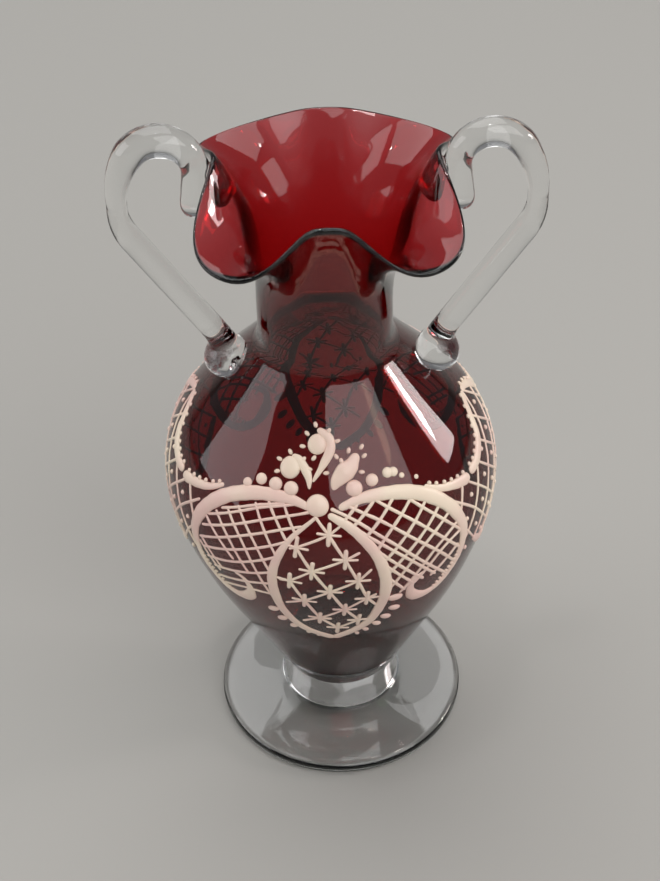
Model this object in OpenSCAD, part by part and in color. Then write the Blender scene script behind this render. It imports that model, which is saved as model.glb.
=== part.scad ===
// Two-handled enamelled ruby-glass vase.
// Millimetres, +Z up. The origin is the middle of the foot's resting face.
// -Y is the front of the vase. The handles stand at -X (left) and +X (right).

/* [Body] */
// Widest diameter of the body
body_d = 70; // [66:1:76]
// Height of the widest part above the table
equator_z = 73.6; // [70:0.2:77]
// Outer diameter of the neck
neck_d = 27.2; // [25:0.2:30]
// Height at which the straight neck starts to flare
flare_z = 120.4; // [119:0.2:124]
// Thickness of the blown wall
wall = 1.8; // [1.4:0.1:2.4]
// Thickness of the glass at the bottom of the body
bottom_wall = 3.5; // [2.5:0.1:5]

/* [Ruffled lip] */
// Mean height of the lip above the table
lip_z = 146.1; // [144:0.1:150]
// Mean radius of the lip
lip_r = 25.2; // [23:0.2:27]
// How far the four pinched folds rise, and the four lobes between them droop
lip_wave_z = 4.2; // [2:0.1:6]
// How far the folds are pinched in, and the lobes pushed out
lip_wave_r = 5.1; // [2:0.1:6]

/* [Foot] */
// Diameter of the foot
foot_d = 56; // [50:1:64]
// Thickness of the rounded edge of the foot
foot_edge = 3; // [2.4:0.1:3.6]
// Height of the foot where the stem stands on it
foot_top_z = 5.6; // [5:0.1:6.4]
// Height of the ruby bottom above the table
stem_z = 12.6; // [11.6:0.2:13.6]

/* [Handles] */
// Diameter of the drawn glass rod along its straight leg
rod_d = 4.8; // [4:0.1:5.4]
// Furthest reach of a rod's middle line from the axis of the vase
handle_reach = 40; // [38:0.5:43]
// Height at which the rod, rising along its leg, becomes upright
handle_mid_z = 140.6; // [139:0.2:142]
// Slope of the straight lower part of a rod, from the horizontal
handle_slope = 57.8; // [54:0.2:62]

/* [Enamel] */
// Thickness of the raised enamel
enamel_t = 0.35; // [0.2:0.05:0.6]
// Turn of the painted panels about the axis, from the middle between the handles
panel_turn = -2; // [-6:1:6]
// Distance between neighbouring threads of the wing nets
net_pitch = 2.7; // [2.2:0.1:3.4]
// Width of the fine threads
thread_w = 0.6; // [0.4:0.05:0.8]

/* [Hidden] */

RUBY = [0.42, 0.0, 0.05];
CLEAR = [0.88, 0.90, 0.88];
ENAMEL = [0.93, 0.84, 0.74];

body_r = body_d / 2;
neck_r = neck_d / 2;
foot_r = foot_d / 2;
rod_r = rod_d / 2;
arc_steps = 4;

// The arcs of the body's outline, from its widest part down and up
belly_r = 37.8;
belly_turn = 14;
flank_r = 126;
flank_turn = 25;
shoulder_r = 26.6;
shoulder_turn = 40.7;
throat_r = 6.2;
heel_r = 2;

// ---------------------------------------------------------------- outlines

// Points of an arc, angles in degrees from +r towards +z
function arc(c, r, from, to, n = arc_steps) =
    [for (i = [0:n]) let (a = from + (to - from) * i / n) c + r * [cos(a), sin(a)]];

// Outline of the body from its bottom to the top of the neck, moved inwards by d.
// bottom is the height of its bottom and heel the rounding there.
function body_edge(d, bottom, heel) =
    let (
        belly_c = [body_r - belly_r, equator_z],
        flank_c = belly_c + (belly_r - flank_r) * [cos(belly_turn), -sin(belly_turn)],
        flank_end = flank_c + (flank_r - d) * [cos(flank_turn), -sin(flank_turn)],
        heel_z = bottom + heel * (1 - sin(flank_turn)),
        heel_edge = flank_end.x - (flank_end.y - heel_z) * tan(flank_turn),
        heel_c = [heel_edge - heel * cos(flank_turn), bottom + heel],
        shoulder_c = [body_r - shoulder_r, equator_z],
        shoulder_end = shoulder_c + (shoulder_r - d) * [cos(shoulder_turn), sin(shoulder_turn)],
        throat = throat_r + d,
        throat_x = neck_r + throat_r,
        throat_start = throat_x - throat * cos(shoulder_turn),
        throat_z = shoulder_end.y + (shoulder_end.x - throat_start) / tan(shoulder_turn)
            + throat * sin(shoulder_turn)
    )
    concat(
        arc(heel_c, heel, -90, -flank_turn, 3),
        arc(flank_c, flank_r - d, -flank_turn, -belly_turn, 2),
        arc(belly_c, belly_r - d, -belly_turn / 2, 0, 1),
        arc(shoulder_c, shoulder_r - d, shoulder_turn / arc_steps, shoulder_turn, arc_steps),
        arc([throat_x, throat_z], throat, 180 + shoulder_turn, 180, 5),
        [[neck_r - d, flare_z]]
    );

outer_edge = body_edge(0, stem_z, heel_r);
radius_table = [for (p = outer_edge) [p.y, p.x]];

// Outer radius of the body at height z
function radius_at(z) = lookup(z, radius_table);

// The part of an outline that covers the heights from low to high
function stretch(edge, low, high) =
    let (last = len(edge) - 1)
    [for (i = [0:last]) if (edge[min(i + 1, last)].y > low && edge[max(i - 1, 0)].y < high) edge[i]];

// Solid of revolution under an outline, out to the axis
module lathe(edge) {
    bottom = edge[0].y;
    top = edge[len(edge) - 1].y;
    rotate([0, 0, 45])
        rotate_extrude($fn = 128)
            polygon(concat([[0, bottom]], edge, [[0, top]]));
}

// ---------------------------------------------------------------- glass body

flare_sides = 80;
flare_steps = 8;
flare_root = 2;
weld = 0.03;
// How much wider and higher the folds at the handles are than the front and back ones
side_spread = 0.9;
side_rise = 1.25;
// How far below the lip the flare bends outwards: its mean, and how much more at a fold
bend_drop = 7.5;
bend_drop_wave = 4.5;
bend_out = 0.6;

// Radius and height of the lip's middle line at azimuth t
function lip_radius(t) = lip_r - lip_wave_r * cos(4 * t) - side_spread * cos(2 * t);
function lip_height(t) = lip_z + lip_wave_z * cos(4 * t) - side_rise * cos(2 * t);

// Middle surface of the flare: a curve that leaves the neck upright and ends at the lip
function flare_mid(t, s) =
    let (
        start = [neck_r - wall / 2, flare_z],
        end = [lip_radius(t), lip_height(t)],
        bend = [start.x + bend_out, end.y - bend_drop - bend_drop_wave * cos(4 * t)]
    )
    (1 - s) * (1 - s) * start + 2 * s * (1 - s) * bend + s * s * end;

// Point of the flare's skin on the side given by side: 1 outside, -1 inside
function flare_skin(t, s, side) =
    let (
        step = 0.01,
        tangent = flare_mid(t, min(s + step, 1)) - flare_mid(t, max(s - step, 0)),
        normal = [tangent.y, -tangent.x] / norm(tangent),
        half = wall / 2 - weld * (1 - s)
    )
    flare_mid(t, s) + side * half * normal;

function flare_lip(t) =
    let (tangent = flare_mid(t, 1) - flare_mid(t, 0.99))
    flare_mid(t, 1) + wall / 2 * tangent / norm(tangent);

function flare_root_point(side) =
    [neck_r - wall / 2 + side * (wall / 2 - weld), flare_z - flare_root];

// All the rings of the flare, up the outside, over the lip and down the inside
function flare_ring(t) =
    concat(
        [flare_root_point(1)],
        [for (i = [0:flare_steps]) flare_skin(t, i / flare_steps, 1)],
        [flare_lip(t)],
        [for (i = [flare_steps:-1:0]) flare_skin(t, i / flare_steps, -1)],
        [flare_root_point(-1)]
    );

module ruffled_flare() {
    rings = len(flare_ring(0));
    points = [
        for (j = [0:flare_sides - 1])
            let (t = 360 * j / flare_sides)
            for (p = flare_ring(t)) [p.x * sin(t), -p.x * cos(t), p.y]
    ];
    faces = [
        for (j = [0:flare_sides - 1])
            let (here = j * rings, next = ((j + 1) % flare_sides) * rings)
            for (i = [0:rings - 1])
                let (k = (i + 1) % rings)
                each [[here + i, here + k, next + i], [next + i, here + k, next + k]]
    ];
    polyhedron(points, faces);
}

inner_heel_r = 5;

module ruby_body() {
    inner_edge = body_edge(wall, stem_z + bottom_wall, inner_heel_r);
    color(RUBY)
        union() {
            difference() {
                lathe(outer_edge);
                lathe(concat(inner_edge, [[neck_r - wall, flare_z + 1]]));
            }
            ruffled_flare();
        }
}

// ---------------------------------------------------------------- stem and foot

stem_r = 13.2;
stem_grip_z = stem_z + 2.8;
stem_grip_r = 1.2;
stem_flare = 0.5;

module stem_collar() {
    color(CLEAR)
        difference() {
            lathe(concat(
                arc([stem_r + stem_flare, foot_top_z + stem_flare], stem_flare, 270, 180, 5),
                arc([stem_r - stem_grip_r, stem_grip_z], stem_grip_r, 0, 90, 4)
            ));
            lathe(outer_edge);
        }
}

module foot() {
    edge = foot_edge / 2;
    ring_w = 6.4;
    hollow = 1.4;
    edge_r = foot_r - edge;
    ring_r = edge_r - ring_w;
    stem_foot_r = stem_r + stem_flare;
    rise = foot_top_z - foot_edge;
    dish = 1.6;
    color(CLEAR)
        rotate([0, 0, 45])
            rotate_extrude($fn = 128)
                polygon(concat(
                    [[0, hollow], [ring_r * 0.7, hollow * 0.75], [ring_r, 0]],
                    arc([edge_r, edge], edge, -90, 90, 8),
                    [
                        for (i = [1:4])
                            let (s = i / 5)
                            [edge_r + (stem_foot_r - edge_r) * s, foot_edge + rise * pow(s, dish)]
                    ],
                    [[stem_foot_r, foot_top_z], [0, foot_top_z]]
                ));
}

// ---------------------------------------------------------------- handles

elbow_r = 12.6;
outer_bend_r = 19.8;
loop_r = 6.6;
outer_bend_turn = 33;
loop_end_turn = 186;
outer_rise = 1.9;
curl_length = 7.5;
foot_bend_r = 24;
foot_bend_turn = 20;
leg_low_z = 111.3;
rod_sides = 16;
// How much thicker than the leg the rod is at its two ends
rod_end_swell = 1.1;

elbow_c = [handle_reach - elbow_r, handle_mid_z];
elbow_start = elbow_c + elbow_r * [sin(handle_slope), -cos(handle_slope)];
outer_bend_c = [handle_reach - outer_bend_r, handle_mid_z + outer_rise];
loop_c = outer_bend_c + (outer_bend_r - loop_r) * [cos(outer_bend_turn), sin(outer_bend_turn)];
loop_end = loop_c + loop_r * [cos(loop_end_turn), sin(loop_end_turn)];
curl_end = loop_end + curl_length * [-sin(loop_end_turn), cos(loop_end_turn)];
leg_low = elbow_start - (elbow_start.y - leg_low_z) * [1 / tan(handle_slope), 1];
foot_bend_c = leg_low + foot_bend_r * [sin(handle_slope), -cos(handle_slope)];
foot_heading = handle_slope + foot_bend_turn;
leg_start = foot_bend_c + foot_bend_r * [-sin(foot_heading), cos(foot_heading)];

// Each station of the rod's middle line is [x, z, heading in degrees, radius]
function rod_turn(c, r, from, to, n, thick) = [
    for (i = [0:n])
        let (a = from + (to - from) * i / n, p = c + r * [cos(a), sin(a)])
        [p.x, p.y, a + 90, rod_r * (thick[0] + (thick[1] - thick[0]) * i / n)]
];

function rod_tip(p, heading, r, sign, angles) = [
    for (a = angles)
        let (q = p + sign * r * sin(a) * [cos(heading), sin(heading)])
        [q.x, q.y, heading, r * cos(a)]
];

// The drawn rod: leg, elbow, outer bend, loop and curl, thickest over the loop
rod_line = concat(
    rod_tip(leg_start, foot_heading, rod_r * rod_end_swell, -1, [80, 50, 25]),
    [
        for (i = [0:2])
            let (h = foot_heading - foot_bend_turn * i / 2, p = foot_bend_c + foot_bend_r * [-sin(h), cos(h)])
            [p.x, p.y, h, rod_r * (rod_end_swell - 0.04 * i)]
    ],
    rod_turn(elbow_c, elbow_r, handle_slope - 90, 0, 3, [1, 0.92]),
    rod_turn(outer_bend_c, outer_bend_r, 6, outer_bend_turn - 5, 3, [0.94, 1.1]),
    rod_turn(loop_c, loop_r, outer_bend_turn, loop_end_turn, 9, [1.15, 1.05]),
    [[curl_end.x, curl_end.y, loop_end_turn + 90, rod_r * rod_end_swell]],
    rod_tip(curl_end, loop_end_turn + 90, rod_r * rod_end_swell, 1, [25, 50, 80])
);

module handle_rod() {
    stations = len(rod_line);
    points = [
        for (s = rod_line, i = [0:rod_sides - 1])
            let (a = 360 * i / rod_sides)
            [s.x - s[3] * cos(a) * sin(s[2]), s[3] * sin(a), s.y + s[3] * cos(a) * cos(s[2])]
    ];
    skin = [
        for (j = [0:stations - 2], i = [0:rod_sides - 1])
            let (a = j * rod_sides + i, b = j * rod_sides + (i + 1) % rod_sides)
            each [[a, a + rod_sides, b], [b, a + rod_sides, b + rod_sides]]
    ];
    start_cap = [for (i = [0:rod_sides - 1]) i];
    end_cap = [for (i = [rod_sides - 1:-1:0]) (stations - 1) * rod_sides + i];
    polyhedron(points, concat(skin, [start_cap, end_cap]));
}

module handle() {
    color(CLEAR)
        handle_rod();
}

pad_r = 4.8;
pad_half = 4.2;
pad_tilt = 49;
pad_z = 101.8;
pad_lift = 3;

// Half outline of a rounded lens, to be turned about its short axis
module lens_outline(long, short) {
    polygon([for (a = [-90:15:90]) [long * cos(a), short * sin(a)]]);
}

socket_length = 14;

// Round-ended socket that one end of the rod fills: its round end at a point, open along a heading
module rod_socket(at, heading) {
    r = rod_r * rod_end_swell;
    translate([at.x, 0, at.y])
        rotate([0, 90 - heading, 0])
            rotate([0, 0, 90])
                rotate_extrude($fn = 48)
                    polygon(concat(arc([0, 0], r, -90, 0, 6), [[r, socket_length], [0, socket_length]]));
}

// Round gather of glass that the rod stands on, pressed on the shoulder
module shoulder_pad() {
    color(CLEAR)
        difference() {
            translate([radius_at(pad_z) + pad_lift * sin(pad_tilt), 0, pad_z + pad_lift * cos(pad_tilt)])
                rotate([0, pad_tilt, 0])
                    rotate([0, 0, 90])
                        rotate_extrude($fn = 48)
                            lens_outline(pad_r, pad_half);
            lathe(outer_edge);
            rod_socket(leg_start, foot_heading);
        }
}

rim_pad_at = [23.4, 145.4];
rim_pad_tilt = 14;
rim_pad_r = 3.4;
rim_pad_half = 5.4;

// Flattened end of the rod, fused to the outside of the pinched fold
module rim_pad() {
    color(CLEAR)
        difference() {
            translate([rim_pad_at.x, 0, rim_pad_at.y])
                rotate([0, rim_pad_tilt, 0])
                    rotate([0, 0, 90])
                        rotate_extrude($fn = 48)
                            lens_outline(rim_pad_r, rim_pad_half);
            rod_socket(curl_end, loop_end_turn - 90);
            fold_block();
        }
}

// One pinched fold and the space inside it, as a closed block that the rim pad is cut by
module fold_block() {
    span = 30;
    steps = 8;
    inner_r = 0.5;
    rings = flare_steps + 3;
    points = [
        for (j = [0:steps])
            let (t = 90 - span + 2 * span * j / steps)
            for (p = concat(
                [[inner_r, flare_z]],
                [for (i = [0:flare_steps]) flare_skin(t, i / flare_steps, 1)],
                [[inner_r, lip_height(t) + 1]]
            )) [p.x * sin(t), -p.x * cos(t), p.y]
    ];
    sides = [
        for (j = [0:steps - 1])
            let (here = j * rings, next = (j + 1) * rings)
            for (i = [0:rings - 1])
                let (k = (i + 1) % rings)
                each [[here + i, here + k, next + i], [next + i, here + k, next + k]]
    ];
    first = [for (i = [rings - 1:-1:0]) i];
    last = [for (i = [0:rings - 1]) steps * rings + i];
    polyhedron(points, concat(sides, [first, last]));
}

// ---------------------------------------------------------------- enamel strokes

// Every control point of a stroke is [azimuth from the panel's middle, height, width].
// A stroke is laid out on the unrolled surface, [arc length, height], and then
// turned to the side view of the prism that cuts it out of the enamel skin.

// The unrolled place of an azimuth and a height
function spot(a, z) = [a * PI / 180 * radius_at(z), z];
function unroll(p) = concat(spot(p.x, p.y), p[2]);
function side_view(p, aim) = let (r = radius_at(p.y)) [r * sin(p.x / r * 180 / PI - aim), p.y];

function blend(a, b, c, d, t) =
    0.5 * (2 * b + (c - a) * t + (2 * a - 5 * b + 4 * c - d) * t * t
        + (3 * b - 3 * c + d - a) * t * t * t);

// Smooth curve through the control points, n steps from one to the next
function curve(p, n) =
    let (last = len(p) - 1)
    concat(
        [
            for (i = [0:last - 1]) for (j = [0:n - 1])
                blend(p[max(i - 1, 0)], p[i], p[i + 1], p[min(i + 2, last)], j / n)
        ],
        [p[last]]
    );

function stroke_edge(q, side) =
    let (last = len(q) - 1)
    [
        for (i = [0:last])
            let (
                way = q[min(i + 1, last)] - q[max(i - 1, 0)],
                size = norm([way.x, way.y])
            )
            [q[i].x - side * q[i][2] / 2 * way.y / size, q[i].y + side * q[i][2] / 2 * way.x / size]
    ];

// One painted stroke as a flat outline, seen along azimuth aim
module stroke(points, aim, n = 3) {
    q = curve([for (p = points) unroll(p)], n);
    up = stroke_edge(q, 1);
    down = stroke_edge(q, -1);
    last = len(q) - 1;
    for (i = [0:last - 1])
        polygon([
            side_view(up[i], aim), side_view(up[i + 1], aim),
            side_view(down[i + 1], aim), side_view(down[i], aim)
        ]);
    for (p = [q[0], q[last]])
        dab([p.x, p.y], p[2] / 2, aim, 8);
}

// Round dab of enamel at an unrolled point
module dab(at, r, aim, sides = 10) {
    polygon([for (i = [0:sides - 1]) let (a = 360 * i / sides) side_view(at + r * [cos(a), sin(a)], aim)]);
}

// Straight thread between two unrolled points
module thread(from, to, aim, w) {
    way = (to - from) / norm(to - from);
    across = w / 2 * [-way.y, way.x];
    polygon([for (p = [from - across, to - across, to + across, from + across]) side_view(p, aim)]);
}

// Cuts the flat outlines out of the enamel skin, looking along azimuth turn + aim.
// low and high bound the heights that the skin covers.
module on_body(turn, aim, low, high) {
    skin_edge = stretch(body_edge(-enamel_t, stem_z, heel_r), low, high);
    back_edge = stretch(outer_edge, low, high);
    rotate([0, 0, turn + aim])
        intersection() {
            rotate([0, 0, 90])
                rotate_extrude($fn = 128)
                    polygon(concat(skin_edge, [for (i = [len(back_edge) - 1:-1:0]) back_edge[i]]));
            translate([0, -5, 0])
                rotate([90, 0, 0])
                    linear_extrude(body_r)
                        offset(r = 0.02)
                            children();
        }
}

// ---------------------------------------------------------------- painted motifs

boss_at = [-3, 89.3];
boss_r = 2.3;

medallion_left = [
    [-3, 87.6, 0.7], [-11.2, 83.6, 1.1], [-16, 79.1, 1.7], [-18.8, 73.5, 2.1], [-19, 67.7, 2.3],
    [-17.4, 60.2, 2.1], [-11.6, 53.6, 2], [0, 49, 1.9],
];
medallion_right = [
    [1, 87.9, 1.4], [8.7, 85.2, 2.1], [14.8, 80.8, 2.3], [18.1, 75.9, 2.5], [19.4, 69.6, 2.7],
    [17.9, 62.4, 2.5], [12.8, 55, 2.3], [0, 49, 1.9],
];

stars = [
    [1, 84.1], [-10.3, 81.2], [-5.2, 75.7], [6.1, 78.5], [-13, 72.3], [0.3, 69.6], [9.9, 72.5],
    [-8.7, 66.1], [5, 62.6], [12.8, 66.3], [-4.2, 59], [10, 57.4], [2, 54.3],
];
// The stars that each thin thread joins
star_threads = [
    [0, 3], [0, 1], [3, 6], [1, 2], [2, 3], [2, 5], [4, 2], [5, 6], [4, 7], [5, 8],
    [7, 5], [6, 9], [7, 10], [8, 9], [8, 11], [10, 8], [10, 12],
];
star_arm = 1.6;
star_tall_arm = 2;
leaf_dot_r = 0.45;

// Wing outline on the side that sign gives: -1 left, 1 right
function wing(sign) = [
    for (p = [
        [5, 88.8, 1.3], [14.3, 90, 2.3], [27, 89.6, 3], [38.5, 87.2, 3.2], [47, 82.4, 3.1],
        [51.6, 75.8, 2.7], [51.2, 69.8, 2.3], [48, 64.2, 1.9], [42.5, 60.9, 2], [35.8, 60.2, 2.5],
        [30.6, 62, 3], [28.6, 65.4, 1.8], [30.4, 68.4, 1.1], [34, 69.3, 0.8],
    ]) [sign * p.x, p.y, p[2]]
];
wing_aim = 28;

leaf_middle = [
    [-2.8, 99.3, 3.4], [-4.6, 101, 3.6], [-2, 100, 2.2], [0.4, 97.4, 1.8], [-1.4, 95, 1.4], [-5, 92.4, 0.5],
];
leaf_left = [[-15, 94.4, 3.6], [-15.8, 94.8, 3.6], [-12, 95.6, 2.4], [-8.6, 94.4, 1.9], [-6.2, 92, 0.6]];
leaf_right = [[11.4, 95, 3.2], [13.6, 96.4, 2.6], [9.4, 95.4, 2.8], [5.6, 93.6, 2], [3.2, 91.2, 0.6]];
leaf_dots = [
    [-9.4, 99.4], [-8.2, 96.8], [-7.6, 102.6], [-4.8, 104.2], [-1, 103], [2, 100.4], [2.4, 97.2], [0.6, 94.8],
    [-19.6, 96.2], [-20.2, 93.4], [-15.6, 97.8], [-11.4, 97], [15.8, 98.4], [11.6, 98], [7.4, 96.4],
    [14.6, 94],
];
beads = [
    [-32.5, 90.6, 1], [-27.1, 91.9, 1.2], [-20.5, 92.2, 1.3], [-13.8, 92, 1.4],
    [11.8, 92.1, 1.5], [20.4, 92.8, 1.25], [27, 92.8, 1.1], [29.6, 92.6, 1], [32.6, 91.6, 0.6],
    [38.3, 90.4, 0.5],
];
petals = [
    [24, 62.6, 1.2, 28], [23, 59, 1.2, 34], [20, 56, 1.1, 40], [16.4, 53.4, 1, 46], [12.2, 51.2, 0.7, 60],
    [7.8, 49.8, 0.6, 70],
];

module boss(turn) {
    color(ENAMEL)
        on_body(turn, boss_at.x, 84, 94)
            dab(spot(boss_at.x, boss_at.y), boss_r, boss_at.x, 16);
}

module medallion(turn) {
    color(ENAMEL)
        on_body(turn, 0, 46, 90) {
            stroke(medallion_left, 0);
            stroke(medallion_right, 0);
        }
}

// One star: four crossed dabs, the upright one the longest
module star(at, aim) {
    centre = spot(at.x, at.y);
    for (a = [10:45:145])
        let (way = (a == 100 ? star_tall_arm : star_arm) * [cos(a), sin(a)])
            thread(centre - way, centre + way, aim, thread_w);
}

module star_lattice(turn) {
    color(ENAMEL)
        on_body(turn, 0, 50, 88) {
            for (s = stars)
                star(s, 0);
            for (t = star_threads)
                let (a = stars[t[0]], b = stars[t[1]])
                    thread(spot(a.x, a.y), spot(b.x, b.y), 0, thread_w * 0.7);
        }
}

module wing_border(turn, sign) {
    color(ENAMEL)
        on_body(turn, sign * wing_aim, 56, 94)
            stroke(wing(sign), sign * wing_aim);
}

// Flat area inside a wing's outline, closed by the medallion's side
module wing_inside(sign, aim) {
    rim = curve([for (p = wing(sign)) if (abs(p.x) > 34 || p.y > 80) unroll(p)], 3);
    side = sign < 0 ? medallion_left : medallion_right;
    inner = curve([for (i = [6:-1:0]) unroll(side[i])], 3);
    polygon([for (p = concat(rim, inner)) side_view(p, aim)]);
}

wing_middle_z = 74;
net_reach = 30;

module wing_net(turn, sign) {
    aim = sign * wing_aim;
    slopes = sign < 0 ? [4, -68] : [-32, 50];
    color(ENAMEL)
        on_body(turn, aim, 56, 94)
            intersection() {
                wing_inside(sign, aim);
                union() {
                    for (slope = slopes, i = [-9:9])
                        translate([0, wing_middle_z])
                            rotate(slope)
                                translate([-net_reach, i * net_pitch - thread_w / 2])
                                    square([2 * net_reach, thread_w]);
                }
            }
}

module bead_row(turn) {
    color(ENAMEL)
        on_body(turn, 0, 86, 96)
            for (b = beads)
                dab(spot(b.x, b.y), b[2], 0, 10);
}

module leaf_spray(turn) {
    color(ENAMEL)
        on_body(turn, 0, 88, 106) {
            stroke(leaf_middle, 0);
            stroke(leaf_left, 0);
            stroke(leaf_right, 0);
        }
}

module leaf_dot_group(turn) {
    color(ENAMEL)
        on_body(turn, 0, 88, 108)
            for (b = leaf_dots)
                dab(spot(b.x, b.y), leaf_dot_r, 0, 6);
}

petal_slimness = 0.55;

// Short petals under the medallion, each leaning along its lower edge
module lower_petals(turn) {
    color(ENAMEL)
        on_body(turn, 0, 44, 68)
            for (sign = [-1, 1], b = petals)
                let (at = spot(sign * b.x, b.y), lean = -sign * b[3])
                    polygon([
                        for (a = [0:45:315])
                            let (p = b[2] * [cos(a), petal_slimness * sin(a)])
                            side_view(at + p.x * [cos(lean), sin(lean)] + p.y * [-sin(lean), cos(lean)], 0)
                    ]);
}

// ---------------------------------------------------------------- side panels

// Points are azimuths from the handle's plane; sign mirrors them
function arch(sign) = [
    for (p = [
        [30, 84.4, 2.4], [24, 84.4, 2.2], [15.5, 86.4, 2.4], [10, 89.4, 2.6], [4, 91.4, 2.4], [0, 91.8, 1.8],
    ]) [sign * p.x, p.y, p[2]]
];
function scroll(sign) = [
    for (p = [[52, 88.4, 0.8], [46, 86.4, 1.6], [38, 84.8, 2.2], [31, 83.8, 2.9]]) [sign * p.x, p.y, p[2]]
];
function skirt(sign) = [
    for (p = [[33, 68, 1.6], [26, 63.4, 2.2], [17, 60.4, 2.4], [8, 61.2, 2], [3, 64.4, 1.4]])
        [sign * p.x, p.y, p[2]]
];
panel_slope = 52;
panel_pitch = 5.2;
panel_middle_z = 76;
panel_dot_turn = 9.4;
panel_dots = [
    for (row = [0:4], i = [-2:2]) [(i + (row % 2) / 2) * panel_dot_turn, 66 + row * panel_pitch]
];
panel_dot_r = 0.55;
rim_dots = [
    for (sign = [-1, 1], x = [4:5:34]) [sign * x, x < 14 ? 94.4 - x * 0.2 : 93.6 - (x - 14) * 0.36]
];
rim_dot_r = 0.6;

module panel_border(turn) {
    color(ENAMEL)
        on_body(turn, 0, 56, 96)
            for (sign = [-1, 1]) {
                stroke(scroll(sign), 0);
                stroke(arch(sign), 0);
                stroke(skirt(sign), 0);
            }
}

module panel_inside() {
    top = concat(arch(-1), [for (i = [4:-1:0]) arch(1)[i]]);
    low = concat(skirt(1), [for (i = [4:-1:0]) skirt(-1)[i]]);
    polygon([for (p = concat(top, low)) side_view(unroll(p), 0)]);
}

module panel_net(turn) {
    color(ENAMEL)
        on_body(turn, 0, 56, 96)
            intersection() {
                panel_inside();
                union() {
                    for (slope = [-panel_slope, panel_slope], i = [-6:6])
                        translate([0, panel_middle_z])
                            rotate(slope)
                                translate([-net_reach, i * panel_pitch - thread_w / 2])
                                    square([2 * net_reach, thread_w]);
                }
            }
}

module panel_dot_group(turn) {
    color(ENAMEL)
        on_body(turn, 0, 60, 98) {
            for (b = panel_dots)
                dab(spot(b.x, b.y), panel_dot_r, 0, 6);
            for (b = rim_dots)
                dab(spot(b.x, b.y), rim_dot_r, 0, 6);
        }
}

// ---------------------------------------------------------------- assembly

front = panel_turn;
back = panel_turn + 180;
right = 90;
left = -90;

ruby_body();
stem_collar();
foot();
mirror([1, 0, 0]) handle();  // left_handle
handle();  // right_handle
mirror([1, 0, 0]) shoulder_pad();  // left_shoulder_pad
shoulder_pad();  // right_shoulder_pad
mirror([1, 0, 0]) rim_pad();  // left_rim_pad
rim_pad();  // right_rim_pad
boss(front);  // front_boss
medallion(front);  // front_medallion
star_lattice(front);  // front_star_lattice
wing_border(front, -1);  // front_left_wing_border
wing_border(front, 1);  // front_right_wing_border
wing_net(front, -1);  // front_left_wing_net
wing_net(front, 1);  // front_right_wing_net
bead_row(front);  // front_bead_row
leaf_spray(front);  // front_leaf_spray
leaf_dot_group(front);  // front_leaf_dots
lower_petals(front);  // front_lower_petals
boss(back);  // back_boss
medallion(back);  // back_medallion
star_lattice(back);  // back_star_lattice
wing_border(back, -1);  // back_left_wing_border
wing_border(back, 1);  // back_right_wing_border
wing_net(back, -1);  // back_left_wing_net
wing_net(back, 1);  // back_right_wing_net
bead_row(back);  // back_bead_row
leaf_spray(back);  // back_leaf_spray
leaf_dot_group(back);  // back_leaf_dots
lower_petals(back);  // back_lower_petals
panel_border(left);  // left_panel_border
panel_net(left);  // left_panel_net
panel_dot_group(left);  // left_panel_dots
panel_border(right);  // right_panel_border
panel_net(right);  // right_panel_net
panel_dot_group(right);  // right_panel_dots
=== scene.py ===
"""Small vase of blown ruby glass with clear glass foot and handles and raised cream enamel.

Sizes in the classes are in millimetres and angles in degrees. The meshes are in metres, in the
frame of the part: +Z up, the painted front at -Y and the handles at -X and +X. An azimuth is
measured round the axis from the front towards +X.
"""

import logging
import math
from dataclasses import dataclass, field
from enum import Enum
from typing import Any, Sequence

import bpy
import numpy as np
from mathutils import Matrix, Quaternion, Vector

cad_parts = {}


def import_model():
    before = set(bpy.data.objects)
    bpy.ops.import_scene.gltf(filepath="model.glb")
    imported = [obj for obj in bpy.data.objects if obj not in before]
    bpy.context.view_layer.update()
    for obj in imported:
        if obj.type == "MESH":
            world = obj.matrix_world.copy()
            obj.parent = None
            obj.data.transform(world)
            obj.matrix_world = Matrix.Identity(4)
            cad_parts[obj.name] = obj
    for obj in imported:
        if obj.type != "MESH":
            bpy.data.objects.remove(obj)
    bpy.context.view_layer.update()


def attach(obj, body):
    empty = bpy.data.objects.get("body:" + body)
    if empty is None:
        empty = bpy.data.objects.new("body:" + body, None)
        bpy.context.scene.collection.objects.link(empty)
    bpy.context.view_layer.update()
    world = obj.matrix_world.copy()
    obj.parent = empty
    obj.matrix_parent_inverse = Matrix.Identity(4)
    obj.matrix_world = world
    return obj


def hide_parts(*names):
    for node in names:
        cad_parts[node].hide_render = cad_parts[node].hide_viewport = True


MM = 0.001
LOG = logging.getLogger("vase")
Point = tuple[float, float]
Stroke = Sequence[tuple[float, float, float]]


class Side(Enum):
    """The two sides of the vase, by the sign of x."""

    LEFT = -1
    RIGHT = 1


class Face(Enum):
    """The two painted faces, by the turn of their middle about the axis."""

    FRONT = -2.0
    BACK = 178.0


# ------------------------------------------------------------------ materials


def linear(code: str) -> tuple[float, float, float, float]:
    """Turns an sRGB colour into a linear one.

    Args:
        code: Six hex digits.

    Returns:
        Linear red, green, blue and an alpha of 1.
    """
    parts = [int(code[i : i + 2], 16) / 255 for i in (0, 2, 4)]
    red, green, blue = (c / 12.92 if c <= 0.04045 else ((c + 0.055) / 1.055) ** 2.4 for c in parts)
    return red, green, blue, 1.0


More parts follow.
